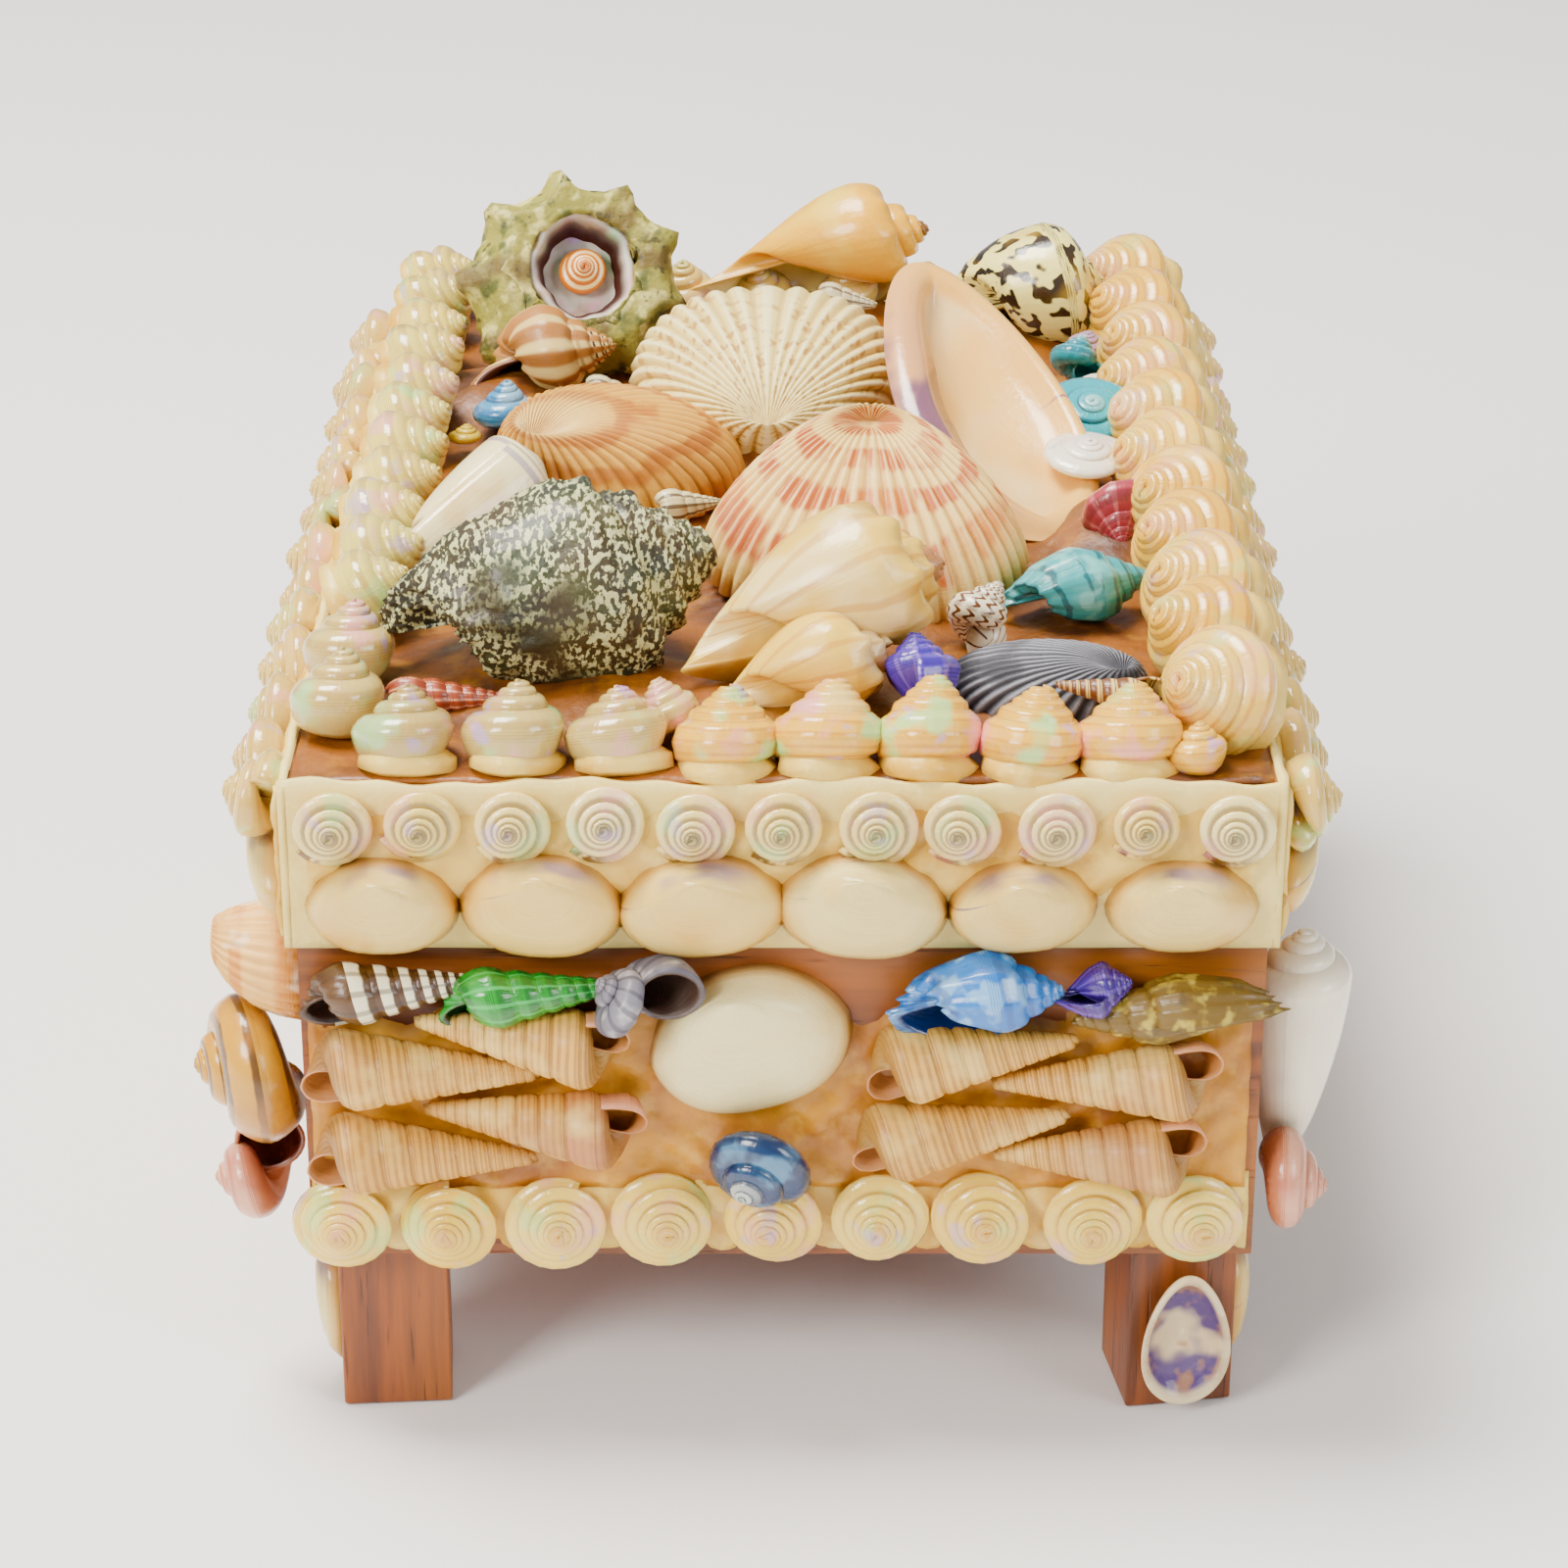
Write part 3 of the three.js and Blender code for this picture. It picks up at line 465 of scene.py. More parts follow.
# A lumpy sheet over a rectangle: `height` is a function of x and y, and the back is flat
def sheet(x0, x1, y0, y1, height, step=1.0, bottom=0.0):
    xs = np.linspace(x0, x1, max(3, int((x1 - x0) / step)))
    ys = np.linspace(y0, y1, max(3, int((y1 - y0) / step)))
    x, y = np.meshgrid(xs, ys, indexing="ij")
    top = height(x, y)
    columns, rows = x.shape
    i, j = np.meshgrid(np.arange(columns - 1), np.arange(rows - 1), indexing="ij")
    a = (i * rows + j).ravel()
    quads = np.stack([a, a + rows, a + rows + 1, a + 1], -1)
    under = columns * rows
    edge = [k * rows for k in range(columns)] + [(columns - 1) * rows + k for k in range(1, rows)]
    edge += [k * rows + rows - 1 for k in range(columns - 2, -1, -1)] + [k for k in range(rows - 2, 0, -1)]
    front = np.stack([x, y, top], -1).reshape(-1, 3)
    back = front[edge]
    back[:, 2] = bottom
    points = np.concatenate([front, back])
    count = len(edge)
    faces = quads.tolist() + [list(range(under + count - 1, under - 1, -1))]
    for k in range(count):
        after = (k + 1) % count
        faces.append([edge[k], under + k, under + after, edge[after]])
    values = {name: np.zeros(len(points)) for name in valueNames}
    return Part(points, faces, values)


# Smooth lumps: a sum of a few waves, the same on each run
def lumps(size, amount, seed=0):
    waves = np.random.default_rng(seed + 3).uniform(0.6, 1.6, (6, 2)) * tau / size
    phases = np.random.default_rng(seed + 9).uniform(0, tau, (6, 2))

    def height(x, y):
        total = 0
        for (a, b), (p, q) in zip(waves, phases):
            total = total + np.sin(a * x + p) * np.sin(b * y + q)
        return amount * total / 2.4

    return height


# A block with rounded edges
def softBlock(width, length, bottom, top, round=0.35):
    work = bmesh.new()
    bmesh.ops.create_cube(work, size=1)
    for vert in work.verts:
        vert.co.x *= width
        vert.co.y *= length
        vert.co.z = bottom if vert.co.z < 0 else top
    bmesh.ops.bevel(work, geom=work.edges[:], offset=round, segments=3, profile=0.5, affect="EDGES")
    points = np.array([v.co[:] for v in work.verts])
    faces = [[v.index for v in f.verts] for f in work.faces]
    work.free()
    return Part(points, faces, {name: np.zeros(len(points)) for name in valueNames})


def vary(spread):
    return 1 + random.uniform(-spread, spread)


def anyTurn():
    angle = random.uniform(0, tau)
    return (math.cos(angle), math.sin(angle), 0.01)


# Wood, paper, board and glue

def woodFinish(name, base, dark, bright, along):
    paint = Paint(name)
    stretch = (1.0, 1.0, 0.06) if along == "z" else (0.05, 1.0, 1.0)
    grain = paint.noise(420, 4.0, stretch)
    colour = paint.mix(grain.above(0.3, 0.7), dark, base)
    colour = paint.mix(paint.noise(60, 3.0, stretch).above(0.4, 0.75) * 0.6, colour, bright)
    pores = paint.noise(1500, 2.0, stretch).above(0.62, 0.72)
    colour = paint.mix(pores * 0.55, colour, "4a2a12")
    roughness = grain * 0.25 + 0.36
    return paint.finish(colour, roughness, 0.15, grain - pores * 0.6, 0.00012)


def paperFinish():
    paint = Paint("lidPaper")
    stains = paint.noise(45, 4.0).above(0.42, 0.7)
    colour = paint.mix(stains * 0.5, "efdcaa", "dfc07c")
    colour = paint.mix(paint.noise(800, 2.0).above(0.55, 0.75) * 0.25, colour, "f8ecc8")
    height = paint.noise(120, 4.0) + paint.noise(1400, 2.0) * 0.25
    return paint.finish(colour, 0.62, 0.05, height, 0.0004)


def glueFinish(name, base, deep, pale):
    paint = Paint(name)
    colour = paint.mix(paint.noise(90, 3.0).above(0.35, 0.7), base, deep)
    colour = paint.mix(paint.noise(210, 3.0).above(0.5, 0.72) * 0.45, colour, pale)
    return paint.finish(
        colour, paint.noise(300, 2.0) * 0.3 + 0.32, 0.15, paint.noise(330, 3.0), 0.0004, 0.12
    )


amberGlue = glueFinish("amberGlue", "98602a", "5a3210", "bc8646")
creamGlue = glueFinish("creamGlue", "e8cc90", "d6a862", "f2e0b2")
frontAmber = glueFinish("frontGlue", "cf9a58", "ab7032", "e6bf82")
boxWood = woodFinish("boxWood", "9c5c1e", "703e12", "b87c30", "x")
legWood = woodFinish("legWood", "9a5810", "6e3c0c", "b4741e", "z")
lidPaper = paperFinish()

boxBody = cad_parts["box_body"]
boxBody.data.materials.clear()
boxBody.data.materials.append(boxWood)

legTurns = {"front_left": 4, "front_right": 9, "rear_left": -3, "rear_right": 2}
legX = boxWidth / 2 - legInset - legWidth / 2
legY = boxLength / 2 - legInset / 2 - legWidth / 2
for corner, turn in legTurns.items():
    sideX, sideY = (-1 if corner.endswith("left") else 1), (-1 if corner.startswith("front") else 1)
    angle = math.radians(turn)
    leg = softBlock(legWidth, legWidth, 0, legHeight - 0.05)
    leg = place(leg, (sideX * legX, sideY * legY, 0), out, (math.cos(angle), math.sin(angle), 0))
    show("leg" + corner.title().replace("_", ""), leg, legWood, ["leg_" + corner], smooth=False)
print("legs", flush=True)


# The lid: a paper skirt with a little waviness that stands above a board, which is sunk in it

def skirtWall(turn, reach, span):
    wave, crease = lumps(26, 0.1, 5), lumps(9, 0.05, 8)
    wall = sheet(
        -span / 2, span / 2, 0, lidHeight, lambda x, y: 0.95 + wave(x, y) * 0.8 + crease(x, y), 1.2, 0.1
    )
    edge = np.abs(wall.points[:, 1] - lidHeight) < 0.01
    along = wall.points[edge, 0]
    wall.points[edge, 1] += 0.35 * np.sin(along * 0.21) + 0.2 * np.sin(along * 0.83)
    return wall.moved(panel(turn, reach - 1.05, lidBottom))


skirt = [
    skirtWall(0, lidLength / 2, lidWidth), skirtWall(tau / 4, lidWidth / 2, lidLength),
    skirtWall(tau / 2, lidLength / 2, lidWidth), skirtWall(-tau / 4, lidWidth / 2, lidLength),
]
show("lidSkirt", skirt, lidPaper, ["lid"])
show(
    "lidBoard", softBlock(lidWidth - 1.8, lidLength - 1.8, boardTop - 3, boardTop, 0.2), boxWood, ["lid"],
    False,
)


# Glue spread over the board, rising under the shells that it carries
mounds = [
    (-0.505, -0.6, 15, 17, 2.2), (-0.2, -0.74, 14, 8, 2.2), (0.5, -0.66, 13, 9, 1.6),
    (0.18, -0.3, 18, 14, 4.6), (-0.385, 0.03, 14, 16, 3.6), (0.42, 0.14, 8, 12, 4.2),
    (-0.03, 0.25, 15, 14, 8.5), (-0.7, 0.47, 11, 10, 3.8), (-0.45, 0.7, 13, 12, 4.5),
    (0.52, 0.76, 13, 11, 2.5), (0.0, 0.86, 18, 10, 4.0), (-0.66, -0.2, 9, 10, 3.6), (0.74, -0.1, 6, 9, 3.6),
]


def moundHeight(x, y):
    height = 0.45 + lumps(13, 0.22, 21)(x, y)
    for shareX, shareY, wide, long, rise in mounds:
        away = ((x - shareX * lidWidth / 2) / wide) ** 2 + ((y - shareY * lidLength / 2) / long) ** 2
        height = height + rise * np.exp(-(away ** 1.6))
    return np.clip(height, 0.12, None) + base


show("lidGlue", sheet(-53.6, 53.6, -81.2, 81.2, moundHeight, 1.3, boardTop + 0.02), amberGlue)
print("lid", flush=True)

# Rows of repeated shells
pearlLook = {
    "base": "e6cc92", "other": "f0deb4", "nacre": 0.28, "roughness": 0.22, "coat": 0.6, "dirt": 0.18,
    "soft": 0.1,
    "layers": [
        # painted shade: 8f7a58 darkens the sutures, the grooves between whorls
        ("8f7a58", share(0.75, lambda p: p.get("across").near(0.19, 0.015, 0.06))),
        ("574a38", share(0.8, lambda p: p.get("grow").below(0.02, 0.34))),
        ("7a5b3c", lambda p: p.get("grow").above(0.93, 0.99) * p.noise(500, 2.0).above(0.4, 0.6)),
    ],
}
baseButtonLook = {
    "base": "ecc87a", "other": "f0d490", "nacre": 0.34, "roughness": 0.2, "coat": 0.6, "dirt": 0.12,
    "soft": 0.1,
    "layers": [
        ("dc9f66", share(0.6, lambda p: p.get("grow").below(0.05, 0.5))),
        # painted shade: b98e4c darkens the sutures, the grooves between whorls
        ("b98e4c", share(0.6, lambda p: p.get("across").near(0.2, 0.01, 0.05))),
        ("f8efcc", share(0.4, spiralBands(6, 0.8, 0.97))),
    ],
}
borderPearlLook = {
    "base": "e2c48a", "other": "d2b888", "nacre": 0.34, "roughness": 0.2, "coat": 0.65, "dirt": 0.2,
    "soft": 0.1,
    "layers": [("c4a273", share(0.55, spiralBands(5, 0.75, 0.97, 0.1)))],
}
borderPeachLook = {
    "base": "e8b870", "other": "edc988", "nacre": 0.22, "roughness": 0.26, "coat": 0.5, "dirt": 0.25,
    "soft": 0.12,
    "layers": [
        ("c98c48", share(0.55, spiralBands(11, 0.7, 0.97, 0.1))),
        ("f4e2b8", share(0.8, spots(70, 0.52, 0.7))),
    ],
}
clamLook = {
    "base": "f2dfb0", "other": "efcf96", "roughness": 0.22, "coat": 0.5, "dirt": 0.2, "soft": 0.14,
    "shadow": "d9ab70",
    "layers": [
        (
            "7d6c92",
            share(
                0.8,
                lambda p: p.get("across").near(0.75, 0.07, 0.2) * p.get("grow").above(0.25, 0.7)
                * p.noise(110, 2.0).above(0.4, 0.56),
            ),
        ),
        ("e2b06c", share(0.6, lambda p: p.noise(70, 2.0).above(0.5, 0.7) * p.get("grow").above(0.1, 0.6))),
        # painted shade: cf9a58 darkens the rim of the dome where it curves away from the light;
        # yellowClamLook, wallLook and the side leg valves keep it too
        ("cf9a58", share(0.8, lambda p: p.get("grow").above(0.8, 1.0))),
    ],
}
yellowClamLook = {**clamLook, "base": "f0dfb0", "other": "eacf95"}
wallLook = {**clamLook, "base": "efdcb4", "other": "e8cfa2"}
finishes = {}


def finishOf(name, look):
    if name not in finishes:
        finishes[name] = shellFinish(name, look)
    return finishes[name]


def button(radius, height, turns=5.5, growth=1.5, **more):
    shape = {"steps": 24, "sides": 14, "tuck": 0.24, "sit": True, **more}
    return coilShell(radius * vary(0.03), height * vary(0.05), turns, growth, mouth=False, **shape)


def clam(width, height, depth, **more):
    return valveShell(
        width * vary(0.03), height * vary(0.03), depth * vary(0.05),
        **{"sides": 34, "steps": 14, "ringSize": 0.04, "beak": 0.44, "dimple": 0.0, **more},
    )


def spread(span, pitch):
    count = max(2, round(span / pitch) + 1)
    return np.linspace(-span / 2, span / 2, count)


# A shell put in its place, with a tint of its own
def stuck(part, at, axis=out, facing=right, on=None):
    return place(part, at, axis, facing, on).tinted(random.uniform(0, 1))


lidFront = panel(0, lidLength / 2, lidBottom)
lidFrontButtons, lidFrontClams = [], []
for x in spread(98.4, 9.8):
    radius = 4.2 if abs(x - 39.4) < 1 else 5.0
    lean = (random.uniform(-0.12, 0.12), random.uniform(-0.05, 0.15), 1)
    shell = button(radius, 4.8, 5.0, 1.5, overlap=0.7, tuck=0.14)
    lidFrontButtons.append(
        stuck(
            shell, (x + random.uniform(-0.3, 0.3), 15.6 + random.uniform(-0.5, 0.3), 0.1), lean,
            (-0.8, -0.6 + random.uniform(-0.4, 0.4), 0), lidFront,
        )
    )
for i, x in enumerate(spread(87.9, 17.7)):
    width, height = [(17.2, 12.2), (18.0, 13.0), (19.4, 12.6), (19.4, 13.2), (16.8, 11.4), (17.0, 11.8)][i]
    lidFrontClams.append(
        stuck(
            clam(width, height, 6.4, power=1.9), (x, 5.5, 0.1), out, (-1, random.uniform(-0.12, 0.12), 0),
            lidFront,
        )
    )
bedHeight = lumps(8, 0.35, 31)
frontBed = sheet(
    -52, 52, 4, 19, lambda x, y: np.clip(0.8 + bedHeight(x, y) - 0.035 * (y - 11) ** 2, -0.3, None), 0.7,
    -0.35,
).moved(lidFront)
show(
    "lidFrontButtons", lidFrontButtons, finishOf("frontPearl", pearlLook), ["lid_front_button_row"],
)
show("lidFrontClams", lidFrontClams, finishOf("frontClam", clamLook), ["lid_front_clam_row"])
show("lidFrontGlue", frontBed, creamGlue)


def rimRows(name, node, turn, reach, length):
    on = panel(turn, reach, lidBottom)
    shells, clams = [], []
    for x in spread(length - 12.8, 11.4):
        lean = (random.uniform(-0.15, 0.15), random.uniform(-0.1, 0.3), 1)
        shell = button(6.0, 7.2, 4.6, 1.6, cords=6, cordSize=0.012, tuck=0.15)
        shells.append(stuck(shell, (x, 14.6 + random.uniform(-0.4, 0.4), 0.1), lean, anyTurn(), on))
    for x in spread(length - 20, 17.7):
        clams.append(
            stuck(
                clam(18.6, 9.8, 4.6, sides=32, steps=12), (x, 5.4, 0.1), out,
                (-1, random.uniform(-0.1, 0.1), 0), on,
            )
        )
    lump = lumps(9, 0.3, 41)
    bed = sheet(
        -length / 2 + 1, length / 2 - 1, 1, 18.6, lambda x, y: 0.6 + lump(x, y), 1.4, -0.05
    ).moved(on)
    show(name + "Buttons", shells, finishOf("rimPearl", borderPearlLook), [node])
    show(name + "Clams", clams, finishOf("yellowClam", yellowClamLook), [node])
    show(name + "Glue", bed, creamGlue)


rimRows("lidLeft", "lid_left_shells", -tau / 4, lidWidth / 2, lidLength)
rimRows("lidRight", "lid_right_shells", tau / 4, lidWidth / 2, lidLength)
rimRows("lidRear", "lid_rear_shells", tau / 2, lidLength / 2, lidWidth)
print("lid rim", flush=True)


# A single glued shell; one on the box's sides has a tint of its own
def glued(name, part, look, at, axis, facing, on=None):
    part = place(part, at, axis, facing) if on is None else stuck(part, at, axis, facing, on)
    node = "".join("_" + c.lower() if c.isupper() else c for c in name)
    show(name, part, shellFinish(name, look), [node])


# A dab of glue that fills the base of a border shell
def glueDab(radius, rise):
    around = np.linspace(0, tau, 28, endpoint=False)
    profile = [(0.2, -1.0), (0.6, -0.8), (0.86, -0.1), (0.84, 0.5 * rise), (0.55, 0.9 * rise), (0.2, rise)]
    reach = radius * (1 + 0.05 * np.sin(3 * around) + 0.02 * np.sin(7 * around))
    rings = [
        np.stack([reach * r * np.cos(around), reach * r * np.sin(around), np.full(28, z)], -1)
        for r, z in profile
    ]
    return skin(np.array(rings), {})


borderDabs = []
borderShape = {
    "turns": 4.4, "growth": 1.66, "steps": 26, "sides": 20, "cords": 7, "cordSize": 0.02, "tuck": 0.15,
    "mouth": False, "sit": True, "hole": 0.5,
}


def borderRow(start, end, pitch, radius, height, axis, facing=(0, 1, 0), wobble=0.14, **more):
    start, end = np.array(start), np.array(end)
    span = np.linalg.norm(end - start)
    shells = []
    for x in spread(span, pitch):
        at = start + (end - start) * ((x + span / 2) / span)
        lean = np.array(axis, float) + random.uniform(-wobble, wobble, 3)
        shell = coilShell(radius * vary(0.05), height * vary(0.06), **{**borderShape, **more})
        away = np.array(facing, float) + random.uniform(-0.3, 0.3, 3)
        shells.append(stuck(shell, at, lean, away))
        borderDabs.append(place(glueDab(radius, 0.3 * height), at, lean, away))
    return shells


coneShape = {
    "turns": 5.0, "growth": 1.42, "hole": 0.66, "overlap": 1.2, "cords": 9, "cordSize": 0.035, "sides": 36,
    "sit": False,
}
frontBorder = borderRow(
    spot(-0.75, -0.93, 0), spot(-0.53 + 0.212, -0.93, 0), 11.5, 6.3, 9.8, (0.02, 0.3, 1)
)
frontBorder += borderRow(
    spot(-0.113, -0.935, -1.1), spot(0.693, -0.935, -1.1), 11.5, 6.7, 11.8, (0.2, 0.35, 1), **coneShape
)
frontBorder.append(
    stuck(
        coilShell(3.8, 6, 4.2, 1.7, tuck=0.15, mouth=False, sit=True), spot(0.83, -0.945, 0),
        (0.02, 0.2, 1), (0, 1, 0),
    )
)
greyFront, peachFront = frontBorder[:3], frontBorder[3:]
greyPearlLook = {
    "base": "d6c090", "other": "c2ae84", "nacre": 0.45, "roughness": 0.18, "coat": 0.7, "dirt": 0.25,
    "soft": 0.08,
    "layers": [("b59a72", share(0.6, spiralBands(4, 0.7, 0.95, 0.1)))],
}
greyFront += [
    stuck(
        coilShell(
            6.0, 10.5, 4.4, 1.66, steps=26, sides=20, cords=7, cordSize=0.015, tuck=0.15, mouth=False,
            sit=True,
        ),
        spot(-0.9, y, 0.2),
        (0.1, 0.25, 1),
        (0, 1, 0),
    )
    for y in (-0.83, -0.66)
]
show(
    "borderFrontLeft", greyFront, finishOf("greyPearl", greyPearlLook),
    ["top_front_border", "top_left_border"],
)
show(
    "borderFrontRight", peachFront, finishOf("peachNacre", {**borderPeachLook, "nacre": 0.6}),
    ["top_front_border"],
)
leftBorder = borderRow(
    spot(-0.93, -0.49, 4), spot(-0.93, 0.925, 4), 11.5, 6.1, 9.8, (1, -0.12, 0.5), (-1, 0.2, -0.4),
    wobble=0.1,
)
greenPearlLook = {**greyPearlLook, "base": "ead292", "other": "dcd296", "nacre": 0.4}
show("borderLeft", leftBorder, finishOf("greenPearl", greenPearlLook), ["top_left_border"])
rightBorder = borderRow(
    spot(0.93, -0.81, 3.6), spot(0.93, 0.9, 3.6), 13.8, 8.0, 12.6, (-0.8, -0.45, 0.6), (0.6, 0.3, -0.9),
    wobble=0.12, **{**coneShape, "hole": 0.5, "cords": 7, "cordSize": 0.018, "sides": 28},
)
show("borderRight", rightBorder, finishOf("peach", borderPeachLook), ["top_right_border"])
rearBorder = borderRow(spot(-0.68, 0.92, 0), spot(0.6, 0.92, 0), 11.5, 5.2, 9.5, (0, -0.2, 1))
show("borderRear", rearBorder, finishOf("rimPearl", borderPearlLook), ["top_rear_border"])
show("borderGlue", borderDabs, creamGlue)
print("borders", flush=True)

# Box front
boxFront = panel(0, boxLength / 2, legHeight)
half = boxWidth / 2
baseButtons = []
for x in spread(97, 12.1):
    lean = (random.uniform(-0.1, 0.1), random.uniform(-0.1, 0.1), 1)
    baseButtons.append(
        stuck(
            button(6.5, 6.6, 6.0, 1.4, overlap=0.75, tuck=0.26),
            (x - 1.3, 5.6 + random.uniform(-0.5, 0.5), 0.1), lean, anyTurn(), boxFront,
        )
    )
show(
    "frontBaseButtons", baseButtons, finishOf("basePearl", baseButtonLook), ["front_base_button_row"],
)

augerLook = {
    "base": "dfb47e", "other": "cf9f6e", "roughness": 0.5, "coat": 0.08, "dirt": 0.3, "inner": "c08a6a",
    "lines": 90, "soft": 0.06,
    "layers": [
        (
            "9a6234",
            share(0.55, lambda p: (p.get("across") * 22 + p.noise(120) * 0.5).sine().above(0.25, 0.9)),
        ),
        ("c98a78", share(0.6, lambda p: p.get("grow").above(0.86, 0.93) * p.get("tint").above(0.4, 0.6))),
        ("efd4a0", share(0.6, lambda p: p.noise(160, 3.0).above(0.45, 0.7))),
        ("b08078", share(0.5, spots(45, 0.5, 0.68))),
        ("7a4a28", share(0.6, lambda p: (p.get("across") + 0.02).sine().above(0.5, 0.1))),
        ("e2a898", share(0.8, lambda p: p.get("grow").above(0.985, 1.0))),
    ],
}
leftFan = [
    ((-1.039, 26.5), (-0.426, 24.9)), ((-0.279, 27.9), (-0.825, 32.4)), ((-0.242, 17.7), (-0.816, 21.2)),
    ((-1.033, 15.8), (-0.44, 14.1)),
]
rightFan = [
    ((0.132, 25.9), (0.682, 29.8)), ((0.955, 25.2), (0.364, 23.8)), ((0.102, 15.8), (0.671, 20.3)),
    ((0.924, 15.3), (0.375, 14.9)),
]


def augerFan(lines):
    shells = []
    for (fromShare, fromY), (toShare, toY) in lines:
        start, end = np.array([fromShare * half, fromY]), np.array([toShare * half, toY])
        length = np.linalg.norm(end - start)
        shell = coilShell(
            4.9, length, 11.0, 1.18, cords=9, cordSize=0.022, rough=0.004, steps=24, sides=28, wall=0.1,
            lip=0.05, overlap=1.1, flat=0.5, tuck=0.14,
        )
        side = -0.9 if end[0] > start[0] else 0.9
        shells.append(
            stuck(
                shell, (*start, 4.5), (*(end - start), -2), (0, side, side * random.uniform(0.1, 0.5)),
                boxFront,
            )
        )
    return shells


show("augersLeft", augerFan(leftFan), finishOf("auger", augerLook), ["front_auger_fan_left"])
show(
    "augersRight", augerFan(rightFan), finishOf("auger", augerLook), ["front_auger_fan_right"],
)


def onFront(shareX, up, rise):
    return (shareX * half, up, rise)


shelf = 34.4
frontClamLook = {
    **clamLook, "base": "f4e6c2", "other": "f4e6c2",
    "layers": [
        ("e6bf84", share(0.6, spots(60, 0.52, 0.7))),
        # painted shade: c99a60 darkens the rim of the dome where it curves away from the light
        ("c99a60", share(0.6, lambda p: p.get("grow").above(0.86, 1.0))),
    ],
}
bigClam = valveShell(23.4, 18.0, 7.0, sides=64, steps=26, rings=11, ringSize=0.06, beak=0.45, dimple=0.0)
bigClam = stuck(bigClam, onFront(-0.068, 28.2, 0.1), out, (-1, -0.3, 0), boxFront)
show("frontClam", bigClam, finishOf("whiteClam", frontClamLook), ["front_clam"])
blueLook = {
    "base": "1f4a70", "roughness": 0.25, "coat": 0.6, "dirt": 0.2, "shadow": "33506b",
    "layers": [
        ("dfe2da", share(0.9, lambda p: p.get("grow").below(0.35, 0.62))),
        ("7fa6bf", share(0.7, spots(220, 0.52, 0.66))),
        ("163a5c", share(0.7, spiralBands(4, 0.6, 0.9, 0.2))),
    ],
}
glued(
    "blueTurban", coilShell(6.4, 8.8, 4.3, 1.8, cords=5, cordSize=0.03, tuck=0.15), blueLook,
    onFront(-0.03, 15.8, 2.4), (-0.35, -0.35, 0.85), (0.35, -0.35, 0), boxFront,
)
bandedLook = {
    "base": "5c3d28", "roughness": 0.4, "coat": 0.3, "inner": "3a231a", "lines": 40,
    "layers": [
        ("f4ecd6", lambda p: (p.get("across") + 0.22).sine().above(0.965, 0.985)),
        ("3f2818", share(0.6, turnBands(9, 0.7, 0.95))),
    ],
}
banded = coilShell(
    3.7, 23, 8.0, 1.22, ribs=9, ribSize=0.1, cords=4, cordSize=0.04, steps=36, sides=20, lip=0.1
)
glued(
    "bandedCerith", banded, bandedLook, onFront(-0.985, shelf + 1.0, 4.6), (1, 0.07, -0.09),
    (0, -1, -0.25), boxFront,
)
greenLook = {
    "base": "2fa04a", "roughness": 0.28, "coat": 0.55, "inner": "14401f", "shadow": "1b6a30",
    "layers": [
        ("1d7436", share(0.8, spiralBands(4, 0.55, 0.85))), ("79d68a", share(0.5, turnBands(10, 0.8, 0.97)))
    ],
}
green = coilShell(
    3.6, 23, 7.5, 1.23, ribs=9, ribSize=0.08, cords=4, cordSize=0.05, steps=36, sides=20, lip=0.12
)
glued(
    "greenCerith", green, greenLook, onFront(-0.70, shelf + 0.6, 5.2), (1, 0.06, -0.12),
    (0, -1, -0.25), boxFront,
)
greyLook = {
    "base": "8f8d96", "roughness": 0.5, "coat": 0.15, "inner": "54413a", "shadow": "5d5660",
    "layers": [("c9c5c8", spots(260, 0.5, 0.66)), ("5f5d69", share(0.7, turnBands(11, 0.7, 0.95, 0.5)))],
}
snail = coilShell(
    5.8, 10.5, 4.0, 2.1, ribs=9, ribSize=0.06, lip=0.2, steps=44, sides=28, wall=0.12, overlap=0.8
)
glued(
    "greySnail", snail, greyLook, onFront(-0.235, shelf - 2.4, 4.6), (-0.7, 0.6, 0.15),
    (0.9, 0.1, 0.1), boxFront,
)
paleBlueLook = {
    "base": "4f90cc", "roughness": 0.3, "coat": 0.5, "inner": "1d4474", "shadow": "34618f",
    "layers": [
        ("a7cbe8", share(0.8, spots(300, 0.48, 0.6))),
        ("2f68a3", share(0.6, spiralBands(5, 0.7, 0.95, 0.2))),
    ],
}
blueWhelk = coilShell(
    5.3, 20, 5.2, 1.55, shoulder=0.44, canal=0.45, ribs=8, ribSize=0.13, cords=7, cordSize=0.03, lip=0.1,
    steps=48, sides=30,
)
glued(
    "blueWhelk", blueWhelk, paleBlueLook, onFront(0.225, shelf + 0.9, 5.4), (1, 0.03, -0.1),
    (0, -0.9, -0.1), boxFront,
)
oliveLook = {
    "base": "806628", "roughness": 0.5, "coat": 0.25, "shadow": "4f3f1c",
    "layers": [("c0ab6c", spots(420, 0.52, 0.66)), ("5f4a22", share(0.7, spots(300, 0.55, 0.68)))],
}
olive = coilShell(
    4.1, 24, 6.0, 1.42, shoulder=0.4, canal=0.35, ribs=14, ribSize=0.1, cords=8, cordSize=0.04, steps=56,
    sides=30, lip=0.05,
)
glued(
    "oliveCerith", olive, oliveLook, onFront(1.015, shelf + 0.2, 3.8), (-1, -0.1, 0), out,
    boxFront,
)
violetLook = {
    "base": "5d4796", "roughness": 0.25, "coat": 0.6, "shadow": "2f2458", "inner": "2f2458",
    "layers": [
        ("8d79c4", share(0.7, turnBands(8, 0.7, 0.95))), ("3a2b6b", share(0.6, spiralBands(3, 0.7, 0.95)))
    ],
}
